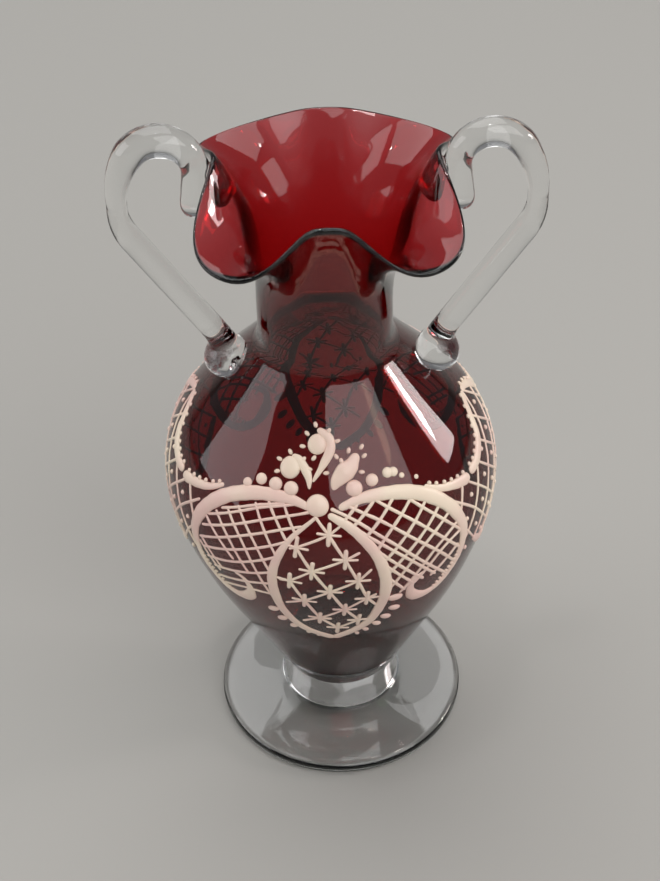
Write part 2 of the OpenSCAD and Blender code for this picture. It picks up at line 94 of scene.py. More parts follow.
def add_node(
    tree: bpy.types.NodeTree,
    kind: str,
    values: dict[str, Any] | None = None,
    links: dict[str, bpy.types.NodeSocket] | None = None,
    **settings: Any,
) -> bpy.types.Node:
    """Adds a shader node with its settings, socket values and links.

    Args:
        tree: The material's node tree.
        kind: The node's type name.
        values: Value for each named input socket.
        links: Output socket that feeds each named input socket.
        **settings: Properties of the node itself.

    Returns:
        The new node.
    """
    node = tree.nodes.new(kind)
    for name, value in settings.items():
        setattr(node, name, value)
    for name, value in (values or {}).items():
        node.inputs[name].default_value = value
    for name, source in (links or {}).items():
        tree.links.new(source, node.inputs[name])
    return node


def blank_material(name: str) -> bpy.types.Material:
    """Makes a material with an empty node tree.

    Args:
        name: The material's name.

    Returns:
        The material.
    """
    material = bpy.data.materials.new(name)
    material.use_nodes = True
    material.node_tree.nodes.clear()
    return material


@dataclass(frozen=True)
class BlownGlass:
    """Soda-lime glass: clear to its full depth, fire-polished, tinted by what it absorbs."""

    name: str
    tint: str
    density: float
    roughness: float
    ripple_mm: float
    ripple_height_mm: float
    mirror: float = 0.5

    def build(self) -> bpy.types.Material:
        """Builds the glass.

        Returns:
            The material.
        """
        material = blank_material(self.name)
        tree = material.node_tree
        place = add_node(tree, "ShaderNodeTexCoord")
        # The slow ripples of hand-worked glass, which bend every reflection a little
        ripple = add_node(
            tree,
            "ShaderNodeTexNoise",
            {"Scale": 1 / (self.ripple_mm * MM), "Detail": 1.5, "Roughness": 0.4},
            {"Vector": place.outputs["Object"]},
        )
        bump = add_node(
            tree,
            "ShaderNodeBump",
            {"Strength": 1.0, "Distance": self.ripple_height_mm * MM},
            {"Height": ripple.outputs["Fac"]},
        )
        glass = add_node(
            tree,
            "ShaderNodeBsdfPrincipled",
            {
                "Base Color": (1, 1, 1, 1),
                "Roughness": self.roughness,
                "IOR": 1.52,
                "Specular IOR Level": self.mirror,
                "Transmission Weight": 1.0,
            },
            {"Normal": bump.outputs["Normal"]},
        )
        depth = add_node(
            tree, "ShaderNodeVolumeAbsorption", {"Color": linear(self.tint), "Density": self.density}
        )
        add_node(
            tree,
            "ShaderNodeOutputMaterial",
            links={"Surface": glass.outputs["BSDF"], "Volume": depth.outputs["Volume"]},
        )
        return material


@dataclass(frozen=True)
class FiredEnamel:
    """Opaque cream enamel laid with a brush and fired: satin, faintly pink where it is thin."""

    name: str = "fired_cream_enamel"
    thick: str = "f6e4cd"
    thin: str = "eecabf"
    cloud_mm: float = 17.0
    grain_mm: float = 0.5
    grain_height_mm: float = 0.03

    def build(self) -> bpy.types.Material:
        """Builds the enamel.

        Returns:
            The material.
        """
        material = blank_material(self.name)
        tree = material.node_tree
        place = add_node(tree, "ShaderNodeTexCoord")
        # Clouds of pinker enamel, a centimetre or two wide, where the coat let the ruby through
        cloud = add_node(
            tree,
            "ShaderNodeTexNoise",
            {"Scale": 1 / (self.cloud_mm * MM), "Detail": 2.0},
            {"Vector": place.outputs["Object"]},
        )
        colour = add_node(tree, "ShaderNodeValToRGB", links={"Fac": cloud.outputs["Fac"]})
        colour.color_ramp.elements[0].position = 0.36
        colour.color_ramp.elements[0].color = linear(self.thin)
        colour.color_ramp.elements[1].position = 0.6
        colour.color_ramp.elements[1].color = linear(self.thick)
        # Fine unevenness that the brush and the firing leave
        grain = add_node(
            tree,
            "ShaderNodeTexNoise",
            {"Scale": 1 / (self.grain_mm * MM), "Detail": 2.0},
            {"Vector": place.outputs["Object"]},
        )
        bump = add_node(
            tree,
            "ShaderNodeBump",
            {"Strength": 1.0, "Distance": self.grain_height_mm * MM},
            {"Height": grain.outputs["Fac"]},
        )
        rough = add_node(
            tree,
            "ShaderNodeMapRange",
            {"To Min": 0.3, "To Max": 0.5},
            {"Value": grain.outputs["Fac"]},
        )
        enamel = add_node(
            tree,
            "ShaderNodeBsdfPrincipled",
            {"IOR": 1.5, "Coat Weight": 0.15, "Coat Roughness": 0.2},
            {
                "Base Color": colour.outputs["Color"],
                "Roughness": rough.outputs["Result"],
                "Normal": bump.outputs["Normal"],
            },
        )
        add_node(tree, "ShaderNodeOutputMaterial", links={"Surface": enamel.outputs["BSDF"]})
        return material


@dataclass(frozen=True)
class MattePaper:
    """Pale seamless paper under the vase: even and without gloss."""

    name: str = "pale_paper"
    colour: str = "a8a6a1"

    def build(self) -> bpy.types.Material:
        """Builds the paper.

        Returns:
            The material.
        """
        material = blank_material(self.name)
        tree = material.node_tree
        paper = add_node(
            tree, "ShaderNodeBsdfPrincipled", {"Base Color": linear(self.colour), "Roughness": 0.9}
        )
        add_node(tree, "ShaderNodeOutputMaterial", links={"Surface": paper.outputs["BSDF"]})
        return material


# ------------------------------------------------------------------ modelling


def start_clean() -> None:
    """Leaves object mode's selection empty."""
    if bpy.context.object and bpy.context.object.mode != "OBJECT":
        bpy.ops.object.mode_set(mode="OBJECT")
    bpy.ops.object.select_all(action="DESELECT")


def vertices_of(piece: bpy.types.Object) -> np.ndarray:
    """Reads a piece's vertices.

    Args:
        piece: A mesh object.

    Returns:
        One row of x, y, z for each vertex, in metres.
    """
    places = np.empty(len(piece.data.vertices) * 3)
    piece.data.vertices.foreach_get("co", places)
    return places.reshape(-1, 3)


def move_vertices(piece: bpy.types.Object, places: np.ndarray) -> None:
    """Puts a piece's vertices at new places.

    Args:
        piece: A mesh object.
        places: One row of x, y, z for each vertex, in metres.
    """
    piece.data.vertices.foreach_set("co", places.astype(np.float32).ravel())
    piece.data.update()


def close_and_smooth(piece: bpy.types.Object) -> None:
    """Merges what meets, turns every face outwards and shades the piece smooth.

    Args:
        piece: A mesh object.
    """
    start_clean()
    bpy.context.view_layer.objects.active = piece
    piece.select_set(True)
    bpy.ops.object.mode_set(mode="EDIT")
    bpy.ops.mesh.select_all(action="SELECT")
    bpy.ops.mesh.remove_doubles(threshold=0.002 * MM)
    bpy.ops.mesh.normals_make_consistent(inside=False)
    bpy.ops.object.mode_set(mode="OBJECT")
    bpy.ops.object.shade_smooth()


def spin_outline(name: str, outline: Sequence[Point], steps: int) -> bpy.types.Object:
    """Turns a half outline about the axis of the vase, as on a lathe.

    Args:
        name: The piece's name.
        outline: Radius and height of each point, in order round the half section.
        steps: Number of steps in the full turn.

    Returns:
        A closed piece whose ends lie on the axis.
    """
    start_clean()
    first = outline[0]
    bpy.ops.mesh.primitive_plane_add(size=MM, location=(0, 0, 0))
    piece = bpy.context.object
    piece.name = piece.data.name = name
    bpy.ops.object.mode_set(mode="EDIT")
    bpy.ops.mesh.select_all(action="SELECT")
    bpy.ops.mesh.merge(type="CENTER")
    bpy.ops.transform.translate(value=(0, -first[0] * MM, first[1] * MM))
    for before, after in zip(outline[:-1], outline[1:]):
        step = (0, -(after[0] - before[0]) * MM, (after[1] - before[1]) * MM)
        bpy.ops.mesh.extrude_region_move(TRANSFORM_OT_translate={"value": step})
    bpy.ops.mesh.select_all(action="SELECT")
    bpy.ops.mesh.spin(steps=steps, angle=math.tau, center=(0, 0, 0), axis=(0, 0, 1))
    bpy.ops.object.mode_set(mode="OBJECT")
    close_and_smooth(piece)
    return piece


def finish_piece(
    piece: bpy.types.Object, material: bpy.types.Material, slot: str, *nodes: str
) -> bpy.types.Object:
    """Dresses a piece, sets it on the vase and lets it stand for the plain solids.

    Args:
        piece: The finished mesh object.
        material: What it is made of.
        slot: The record's material slot; not used.
        *nodes: The plain solids that it stands for.

    Returns:
        The same piece.
    """
    piece.data.materials.clear()
    piece.data.materials.append(material)
    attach(piece, "root")
    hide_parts(*nodes)
    LOG.info("%s: %d faces", piece.name, len(piece.data.polygons))
    return piece


def arc(centre: Point, radius: float, start: float, end: float, steps: int) -> list[Point]:
    """Walks along an arc.

    Args:
        centre: Centre of the arc.
        radius: Radius of the arc.
        start: First angle, from +r towards +z.
        end: Last angle.
        steps: Number of steps.

    Returns:
        The points from the first angle to the last.
    """
    return [
        (
            centre[0] + radius * math.cos(math.radians(start + (end - start) * i / steps)),
            centre[1] + radius * math.sin(math.radians(start + (end - start) * i / steps)),
        )
        for i in range(steps + 1)
    ]


def line(start: Point, end: Point, steps: int) -> list[Point]:
    """Divides a straight line.

    Args:
        start: First point, which the result leaves out.
        end: Last point, which the result leaves out.
        steps: Number of steps.

    Returns:
        The points between the two.
    """
    return [
        (start[0] + (end[0] - start[0]) * i / steps, start[1] + (end[1] - start[1]) * i / steps)
        for i in range(1, steps)
    ]


# ------------------------------------------------------------------ blown body


@dataclass(frozen=True)
class HandLean:
    """The slight lean to the left that the body and neck took while they were blown."""

    most: float = 1.15
    start_z: float = 25.0
    full_z: float = 98.0
    back_z: float = 117.0
    end_z: float = 142.0

    @staticmethod
    def ease(share: np.ndarray) -> np.ndarray:
        """Rises smoothly from 0 to 1 as the share does."""
        share = np.clip(share, 0, 1)
        return share**2 * (3 - 2 * share)

    def at(self, height: np.ndarray) -> np.ndarray:
        """How far the middle of the vase stands to the left at each height."""
        rise = self.ease((height - self.start_z) / (self.full_z - self.start_z))
        fall = self.ease((height - self.back_z) / (self.end_z - self.back_z))
        return self.most * rise * (1 - fall)


LEAN = HandLean()


@dataclass(frozen=True)
class BodyOutline:
    """Half outline of the blown body, from its bottom to the top of its neck."""

    widest_r: float = 35.0
    widest_z: float = 73.6
    neck_r: float = 13.6
    neck_top: float = 120.4
    bottom: float = 12.6
    belly_r: float = 37.8
    belly_turn: float = 14.0
    flank_r: float = 126.0
    flank_turn: float = 25.0
    shoulder_r: float = 26.6
    shoulder_turn: float = 40.7
    throat_r: float = 6.2

    def points(self, inset: float = 0.0, rise: float = 0.0, heel: float = 2.0) -> list[Point]:
        """Draws the outline.

        Args:
            inset: How far inside the outer surface it runs.
            rise: How far above the outer bottom it starts.
            heel: Radius of the rounding at the bottom.

        Returns:
            Radius and height of its points, upwards, from where the heel begins.
        """
        turn = math.radians(self.flank_turn)
        belly = (self.widest_r - self.belly_r, self.widest_z)
        back = self.belly_r - self.flank_r
        flank = (
            belly[0] + back * math.cos(math.radians(self.belly_turn)),
            belly[1] - back * math.sin(math.radians(self.belly_turn)),
        )
        low = arc(flank, self.flank_r - inset, -self.flank_turn, -self.belly_turn, 6)
        bottom = self.bottom + rise
        heel_z = bottom + heel * (1 - math.sin(turn))
        heel_edge = low[0][0] - (low[0][1] - heel_z) * math.tan(turn)
        foot = arc((heel_edge - heel * math.cos(turn), bottom + heel), heel, -90, -self.flank_turn, 5)
        tilt = math.radians(self.shoulder_turn)
        shoulder = (self.widest_r - self.shoulder_r, self.widest_z)
        high = arc(shoulder, self.shoulder_r - inset, 0, self.shoulder_turn, 12)
        throat = self.throat_r + inset
        throat_x = self.neck_r + self.throat_r
        start_x = throat_x - throat * math.cos(tilt)
        throat_z = (
            high[-1][1] + (high[-1][0] - start_x) / math.tan(tilt) + throat * math.sin(tilt)
        )
        neck = arc((throat_x, throat_z), throat, 180 + self.shoulder_turn, 180, 8)
        top = (self.neck_r - inset, self.neck_top)
        return (
            foot
            + line(foot[-1], low[0], 12)
            + low
            + arc(belly, self.belly_r - inset, -self.belly_turn, 0, 5)[1:]
            + high[1:]
            + line(high[-1], neck[0], 4)
            + neck
            + line(neck[-1], top, 5)
            + [top]
        )

    def table(self) -> tuple[np.ndarray, np.ndarray]:
        """Heights and outer radii of the body, upwards."""
        edge = np.array(self.points())
        return edge[:, 1], edge[:, 0]

    def radius(self, height: np.ndarray) -> np.ndarray:
        """Outer radius of the body at each height."""
        heights, radii = self.table()
        return np.interp(height, heights, radii)

    def slope(self, height: np.ndarray) -> np.ndarray:
        """Change of radius with height at each height."""
        reach = 0.6
        return (self.radius(height + reach) - self.radius(height - reach)) / (2 * reach)


@dataclass(frozen=True)
class RuffledLip:
    """The lip: four pinched folds and the four lobes that droop between them."""

    mean_z: float = 146.1
    mean_r: float = 25.2
    wave_z: float = 4.2
    wave_r: float = 5.1
    side_rise: float = 1.25
    side_spread: float = 0.9
    bend_drop: float = 7.5
    bend_drop_wave: float = 4.5
    bend_out: float = 0.6
    wall: float = 1.8
    taper: float = 0.4
    flatten: float = 0.8
    lobe_turn: float = -42.0
    lobe_width: float = 22.0
    lobe_shift: float = 1.5

    def phase(self, turn: np.ndarray) -> np.ndarray:
        """Azimuth in radians, moved a little where the folds stand unevenly."""
        from_lobe = (turn - math.radians(self.lobe_turn)) / math.radians(self.lobe_width)
        return turn - math.radians(self.lobe_shift) * np.exp(-(from_lobe**2))

    def wave(self, turn: np.ndarray) -> np.ndarray:
        """The four folds, 1 on a fold and -1 on a lobe, rounder at the front and the back."""
        turn = self.phase(turn)
        plain = np.cos(4 * turn)
        return plain + self.flatten * np.cos(turn) ** 2 * (np.sin(plain * math.pi / 2) - plain)

    def radius(self, turn: np.ndarray) -> np.ndarray:
        """Radius of the lip at each azimuth."""
        return self.mean_r - self.wave_r * self.wave(turn) - self.side_spread * np.cos(2 * turn)

    def height(self, turn: np.ndarray) -> np.ndarray:
        """Height of the lip at each azimuth."""
        return self.mean_z + self.wave_z * self.wave(turn) - self.side_rise * np.cos(2 * turn)

    def middle(self, turn: np.ndarray, share: np.ndarray, root: Point) -> np.ndarray:
        """Follows the middle of the flared wall.

        Args:
            turn: Azimuth in radians.
            share: 0 where the flare leaves the neck, 1 at the lip.
            root: Radius and height where the flare leaves the neck.

        Returns:
            Radius and height of each point.
        """
        end_r, end_z = self.radius(turn), self.height(turn)
        drop = self.bend_drop + self.bend_drop_wave * self.wave(turn)
        keep, mix, give = (1 - share) ** 2, 2 * share * (1 - share), share**2
        radius = keep * root[0] + mix * (root[0] + self.bend_out) + give * end_r
        height = keep * root[1] + mix * (end_z - drop) + give * end_z
        return np.stack([radius, height], axis=-1)

    def thin(self, share: np.ndarray) -> np.ndarray:
        """Thickness of the wall as a share of the neck's: it is drawn thinner towards the lip."""
        return 1 - self.taper * share

    def skin(
        self, turn: np.ndarray, share: np.ndarray, across: np.ndarray, past: np.ndarray, root: Point
    ) -> np.ndarray:
        """Places points of the flared wall.

        Args:
            turn: Azimuth in radians.
            share: 0 at the neck, 1 at the lip.
            across: Distance outwards from the middle of the wall.
            past: Distance beyond the lip's middle, along the wall.
            root: Radius and height where the flare leaves the neck.

        Returns:
            Radius and height of each point.
        """
        step = 0.01
        middle = self.middle(turn, share, root)
        ahead = self.middle(turn, np.minimum(share + step, 1), root)
        behind = self.middle(turn, np.maximum(share - step, 0), root)
        along = ahead - behind
        along /= np.linalg.norm(along, axis=-1, keepdims=True)
        out = np.stack([along[..., 1], -along[..., 0]], axis=-1)
        return middle + across[..., None] * out + past[..., None] * along


@dataclass
class BlownBody:
    """Body, neck and ruffled lip, blown as one bubble of ruby glass."""

    glass: BlownGlass
    outline: BodyOutline
    lip: RuffledLip
    wall: float = 1.8
    bottom_wall: float = 3.5
    inner_heel: float = 5.0
    tube: float = 20.0
    tube_rings: int = 16
    steps: int = 168

    def root(self) -> Point:
        """Middle of the wall where the flare leaves the neck."""
        return self.outline.neck_r - self.wall / 2, self.outline.neck_top

    def gather_outline(self) -> list[Point]:
        """Draws the closed half section before the neck is opened.

        Returns:
            The outline, up the outside, over a round lip and down the inside.
        """
        outer = self.outline.points()
        inner = self.outline.points(self.wall, self.bottom_wall, self.inner_heel)
        radius, top = self.root()[0], self.outline.neck_top + self.tube
        out_x, in_x = radius + self.wall / 2, radius - self.wall / 2
        lip = arc((radius, top), self.wall / 2, 0, 180, 6)
        return (
            [(0.0, self.outline.bottom), (outer[0][0] * 0.5, self.outline.bottom)]
            + outer
            + line(outer[-1], (out_x, top), self.tube_rings)
            + lip
            + line((in_x, top), inner[-1], self.tube_rings)
            + inner[::-1]
            + [(inner[0][0] * 0.5, inner[0][1]), (0.0, inner[0][1])]
        )

    def open_flare(self, piece: bpy.types.Object) -> None:
        """Opens the straight neck tube into the ruffled flare.

        Args:
            piece: The blown bubble with its neck still straight.
        """
        places = vertices_of(piece) / MM
        turn = np.arctan2(places[:, 0], -places[:, 1])
        radius = np.hypot(places[:, 0], places[:, 1])
        climb = places[:, 2] - self.outline.neck_top
        share = np.clip(climb / self.tube, 0, 1)
        past = np.maximum(climb - self.tube, 0)
        thin = self.lip.thin(share)
        flared = self.lip.skin(turn, share, (radius - self.root()[0]) * thin, past * thin, self.root())
        moved = climb > 1e-4
        new_radius = np.where(moved, flared[:, 0], radius)
        new_height = np.where(moved, flared[:, 1], places[:, 2])
        shaped = np.stack([new_radius * np.sin(turn), -new_radius * np.cos(turn), new_height], axis=-1)
        shaped[:, 0] -= LEAN.at(new_height)
        move_vertices(piece, shaped * MM)

    def build(self) -> bpy.types.Object:
        """Builds the body.

        Returns:
            The finished piece.
        """
        piece = spin_outline("blown_ruby_body", self.gather_outline(), self.steps)
        self.open_flare(piece)
        return finish_piece(piece, self.glass.build(), "ruby_glass", "ruby_body")


# ------------------------------------------------------------------ foot and stem


@dataclass
class GlassFoot:
    """Clear glass disc with a round bright edge, and the collar that grips the ruby bottom."""

    material: bpy.types.Material
    outline: BodyOutline
    radius: float = 28.0
    edge: float = 3.0
    top: float = 5.6
    dish: float = 1.7
    hollow: float = 1.4
    ring: float = 6.4
    stem_r: float = 13.2
    stem_flare: float = 0.5
    grip: float = 2.8
    grip_r: float = 1.2
    lap: float = 0.12
    under_steps: int = 16
    steps: int = 144

    def disc_outline(self) -> list[Point]:
        """Draws the half section of the disc, from its hollow underside to its top."""
        half = self.edge / 2
        edge_r = self.radius - half
        ring_r = edge_r - self.ring
        stem = self.stem_r + self.stem_flare
        rise = self.top - self.edge
        shares = [i / self.under_steps for i in range(self.under_steps)]
        under = [(ring_r * share, self.hollow * (1 - share**2) ** 2) for share in shares]
        upper = [
            (edge_r + (stem - edge_r) * s, self.edge + rise * s**self.dish)
            for s in (0.1, 0.22, 0.34, 0.46, 0.58, 0.7, 0.8, 0.88, 0.95)
        ]
        rest = [(ring_r + self.ring * share, 0.0) for share in (0.3, 0.7)]
        rim = arc((edge_r, half), half, -90, 90, 14)
        return under + [(ring_r, 0.0)] + rest + rim + upper + [(stem, self.top), (0.0, self.top)]

    def collar_outline(self) -> list[Point]:
        """Draws the half section of the collar, which reaches just inside its neighbours."""
        lap, flare = self.lap, self.stem_flare
        low = arc((self.stem_r + flare, self.top + flare), flare, 270, 180, 7)
        top = self.outline.bottom + self.grip
        high = arc((self.stem_r - self.grip_r, top), self.grip_r, 0, 90, 6)
        ruby = [(r - lap, z + lap) for r, z in self.outline.points() if z < top + self.grip_r][::-1]
        return (
            [(0.0, self.top - lap), (self.stem_r + flare, self.top - lap)]
            + low
            + line(low[-1], high[0], 4)
            + high
            + ruby
            + [(0.0, self.outline.bottom + lap)]
        )

    def build(self) -> None:
        """Builds the disc and the collar."""
        disc = spin_outline("pressed_glass_foot", self.disc_outline(), self.steps)
        finish_piece(disc, self.material, "clear_glass", "foot")
        collar = spin_outline("glass_stem_collar", self.collar_outline(), self.steps)
        finish_piece(collar, self.material, "clear_glass", "stem_collar")


# ------------------------------------------------------------------ handles


@dataclass(frozen=True)
class RodStation:
    """One place on a drawn rod: middle, heading from +r towards +z, and radius."""

    r: float
    z: float
    heading: float
    radius: float


@dataclass
class GlassHandle:
    """Drawn clear glass rod: leg, elbow, upright, loop and curl, with its two fused ends."""

    side: Side
    material: bpy.types.Material
    outline: BodyOutline
    lip: RuffledLip
    root: Point
    leg_r: float = 2.6
    leg_swell: float = 1.3
    upright_r: float = 2.1
    loop_thick: float = 3.3
    curl_r: float = 2.6
    reach: float = 40.0
    middle_z: float = 140.6
    slope: float = 57.8
    elbow: float = 12.6
    outer_bend: float = 19.8
    outer_turn: float = 33.0
    outer_rise: float = 1.9
    loop: float = 6.6
    loop_end: float = 186.0
    curl: float = 7.5
    foot_bend: float = 24.0
    foot_turn: float = 20.0
    leg_low: float = 111.3
    sides: int = 28
    pad_z: float = 101.8
    pad_lift: float = 3.0
    pad_long: float = 4.8
    pad_short: float = 4.3
    pad_tilt: float = 49.0
    rim_half: float = 6.4
    rim_drop: float = 3.4
    rim_gap: float = 0.4
    rim_thick: float = 2.2
    flare_length: float = 26.0
    bed: float = 0.45
    lap: float = 0.1
    glue: float = 0.7
    grain: float = 0.3
    soften: int = 30

    def bend(
        self, centre: Point, radius: float, start: float, end: float, steps: int, thick: Point
    ) -> list[RodStation]:
        """Walks round one bend of the rod.

        Args:
            centre: Centre of the bend.
            radius: Radius of the bend.
            start: First angle.
            end: Last angle.
            steps: Number of steps.
            thick: Radius of the rod at the first and at the last angle.

        Returns:
            The stations of the bend.
        """
        angles = [start + (end - start) * i / steps for i in range(steps + 1)]
        return [
            RodStation(r, z, angle + 90, thick[0] + (thick[1] - thick[0]) * i / steps)
            for i, (angle, (r, z)) in enumerate(zip(angles, arc(centre, radius, start, end, steps)))
        ]

    def stations(self) -> list[RodStation]:
        """Lays out the rod.

        Returns:
            Its stations, from the shoulder to the lip.
        """
        slope = math.radians(self.slope)
        elbow = (self.reach - self.elbow, self.middle_z)
        start = (elbow[0] + self.elbow * math.sin(slope), elbow[1] - self.elbow * math.cos(slope))
        low = (start[0] - (start[1] - self.leg_low) / math.tan(slope), self.leg_low)
        outer = (self.reach - self.outer_bend, self.middle_z + self.outer_rise)
        turn = math.radians(self.outer_turn)
        lean = self.outer_bend - self.loop
        loop = (outer[0] + lean * math.cos(turn), outer[1] + lean * math.sin(turn))
        foot = (low[0] + self.foot_bend * math.sin(slope), low[1] - self.foot_bend * math.cos(slope))
        leg = [
            RodStation(
                foot[0] - self.foot_bend * math.sin(math.radians(h)),
                foot[1] + self.foot_bend * math.cos(math.radians(h)),
                h,
                self.leg_r + self.leg_swell * ((h - self.slope) / self.foot_turn) ** 2,
            )
            for h in (self.slope + self.foot_turn * (8 - i) / 8 for i in range(9))
        ]
        straight = [
            RodStation(r, z, self.slope, self.leg_r) for r, z in line(low, start, 9)
        ]
        curl = math.radians(self.loop_end + 90)
        full = self.loop_thick
        around = (
            self.bend(elbow, self.elbow, self.slope - 90, 0, 8, (self.leg_r, self.upright_r))
            + self.bend(outer, self.outer_bend, 3, self.outer_turn - 4, 6, (self.upright_r, full * 0.9))
            + self.bend(loop, self.loop, self.outer_turn, 90, 8, (full * 0.96, full))
            + self.bend(loop, self.loop, 97, self.loop_end, 12, (full, self.curl_r))
        )
        end = around[-1]
        down = [
            RodStation(
                end.r + self.curl * i / 5 * math.cos(curl),
                end.z + self.curl * i / 5 * math.sin(curl),
                end.heading,
                self.curl_r,
            )
            for i in range(1, 6)
        ]
        body = leg + straight + around + down
        return body + self.round_end(body[-1])

    @staticmethod
    def round_end(end: RodStation) -> list[RodStation]:
        """Rounds the far end of the rod.

        Args:
            end: The rod's last full station.

        Returns:
            The stations of the rounding.
        """
        heading = math.radians(end.heading)
        return [
            RodStation(
                end.r + end.radius * math.sin(a) * math.cos(heading),
                end.z + end.radius * math.sin(a) * math.sin(heading),
                end.heading,
                end.radius * math.cos(a),
            )
            for a in (math.radians(d) for d in (20, 40, 58, 73, 84))
        ]

    def draw_rod(self) -> bpy.types.Object:
        """Draws the rod out ring by ring.

        Returns:
            The closed rod.
        """
        start_clean()
        sign = self.side.value
        stations = self.stations()
        first = stations[0]
        here = Vector((sign * first.r, 0, first.z)) * MM
        bpy.ops.mesh.primitive_circle_add(
            vertices=self.sides,
            radius=first.radius * MM,
            fill_type="NGON",
            location=here,
            rotation=(0, sign * math.radians(90 - first.heading), 0),
        )
        rod = bpy.context.object
        bpy.ops.object.transform_apply(location=True, rotation=True, scale=True)
        bpy.ops.object.mode_set(mode="EDIT")
        bpy.ops.mesh.select_all(action="SELECT")
        for before, after in zip(stations[:-1], stations[1:]):
            there = Vector((sign * after.r, 0, after.z)) * MM
            bpy.ops.mesh.extrude_region_move(TRANSFORM_OT_translate={"value": there - here})
            turn = math.radians(after.heading - before.heading)
            bpy.ops.transform.rotate(
                value=sign * turn, orient_axis="Y", center_override=there
            )
            scale = after.radius / before.radius
            bpy.ops.transform.resize(value=(scale, scale, scale), center_override=there)
            here = there
        bpy.ops.object.mode_set(mode="OBJECT")
        close_and_smooth(rod)
        return rod

    def pad_middle(self) -> Point:
        """Radius and height of the middle of the shoulder gather."""
        tilt = math.radians(self.pad_tilt)
        reach = float(self.outline.radius(np.array(self.pad_z)))
        return reach + self.pad_lift * math.sin(tilt), self.pad_z + self.pad_lift * math.cos(tilt)

    def shoulder_pad(self) -> bpy.types.Object:
        """Presses a round gather on the shoulder.

        Returns:
            The closed pad, flat where it lies on the ruby glass.
        """
        start_clean()
        sign = self.side.value
        reach, height = self.pad_middle()
        bpy.ops.mesh.primitive_uv_sphere_add(
            segments=48,
            ring_count=32,
            radius=self.pad_long * MM,
            location=(sign * reach * MM, 0, height * MM),
            rotation=(0, sign * math.radians(self.pad_tilt), 0),
            scale=(1, 1, self.pad_short / self.pad_long),
        )
        pad = bpy.context.object
        bpy.ops.object.transform_apply(location=True, rotation=True, scale=True)
        places = vertices_of(pad) / MM
        from_axis = places[:, 0] + LEAN.at(places[:, 2])
        radius = np.hypot(from_axis, places[:, 1])
        slope = self.outline.slope(places[:, 2])
        size = np.sqrt(1 + slope**2)
        deep = (self.outline.radius(places[:, 2]) - radius) / size - self.bed
        push = np.maximum(deep, 0)
        out = np.stack([from_axis / radius, places[:, 1] / radius, -slope], axis=-1) / size[:, None]
        move_vertices(pad, (places + push[:, None] * out) * MM)
        close_and_smooth(pad)
        return pad

    def rim_pad(self) -> bpy.types.Object:
        """Spreads the rod's flattened end along the outside of the pinched fold.

        Returns:
            The closed pad, flat where it lies on the ruby glass.
        """
        start_clean()
        bpy.ops.mesh.primitive_uv_sphere_add(segments=48, ring_count=32, radius=1.0, location=(0, 0, 0))
        pad = bpy.context.object
        ball = vertices_of(pad)
        mid_turn = math.radians(90 * self.side.value)
        turn = mid_turn + ball[:, 0] * self.rim_half / float(self.lip.radius(np.array(mid_turn)))
        share = 1 - (self.rim_drop + self.rim_gap + ball[:, 1] * self.rim_drop) / self.flare_length
        rise = np.where(ball[:, 2] > 0, ball[:, 2] * self.rim_thick, ball[:, 2] * self.bed)
        across = self.lip.wall / 2 * self.lip.thin(share) + rise
        wall = self.lip.skin(turn, share, across, np.zeros(len(rise)), self.root)
        places = np.stack([wall[:, 0] * np.sin(turn), -wall[:, 0] * np.cos(turn), wall[:, 1]], axis=-1)
        move_vertices(pad, places * MM)
        close_and_smooth(pad)
        return pad

    def fuse(self, parts: list[bpy.types.Object]) -> bpy.types.Object:
        """Runs the rod and its gathers together, as hot glass does.

        Args:
            parts: The rod and the two gathers, which overlap.

        Returns:
            One closed piece with soft hollows where they meet.
        """
        start_clean()
        for part in parts:
            part.select_set(True)
        bpy.context.view_layer.objects.active = parts[0]
        bpy.ops.object.join()
        piece = bpy.context.view_layer.objects.active
        run = piece.modifiers.new("run_together", "REMESH")
        run.mode, run.voxel_size = "VOXEL", self.grain * MM
        bpy.ops.object.modifier_apply(modifier=run.name)
        soften = piece.modifiers.new("soften", "SMOOTH")
        soften.factor, soften.iterations = 0.5, self.soften
        bpy.ops.object.modifier_apply(modifier=soften.name)
        close_and_smooth(piece)
        return piece

    def bed_down(self, piece: bpy.types.Object, body: bpy.types.Object) -> None:
        """Lays the handle just inside the skin of the ruby glass, with no air between them.

        Args:
            piece: The fused handle.
            body: The blown body that it is fused to.
        """
        lap, glue = self.lap * MM, self.glue * MM
        for vertex in piece.data.vertices:
            found, near, out, _ = body.closest_point_on_mesh(vertex.co)
            gap = (vertex.co - near).dot(out)
            faces_it = min(max(-vertex.normal.dot(out) / 0.7, 0), 1)
            is_near = min(max(2 * (1 - gap / glue), 0), 1)
            share = 1.0 if gap < -lap else faces_it * is_near
            if found and share > 0:
                vertex.co = vertex.co.lerp(near - out * lap, share)
        piece.data.update()

    def build(self, body: bpy.types.Object) -> None:
        """Builds the handle with its two fused ends.

        Args:
            body: The blown body that it is fused to.
        """
        name = self.side.name.lower()
        piece = self.fuse([self.draw_rod(), self.shoulder_pad(), self.rim_pad()])
        piece.name = piece.data.name = f"drawn_{name}_handle"
        self.bed_down(piece, body)
        close_and_smooth(piece)
        nodes = (f"{name}_handle", f"{name}_shoulder_pad", f"{name}_rim_pad")
        finish_piece(piece, self.material, "clear_glass", *nodes)


# ------------------------------------------------------------------ enamel


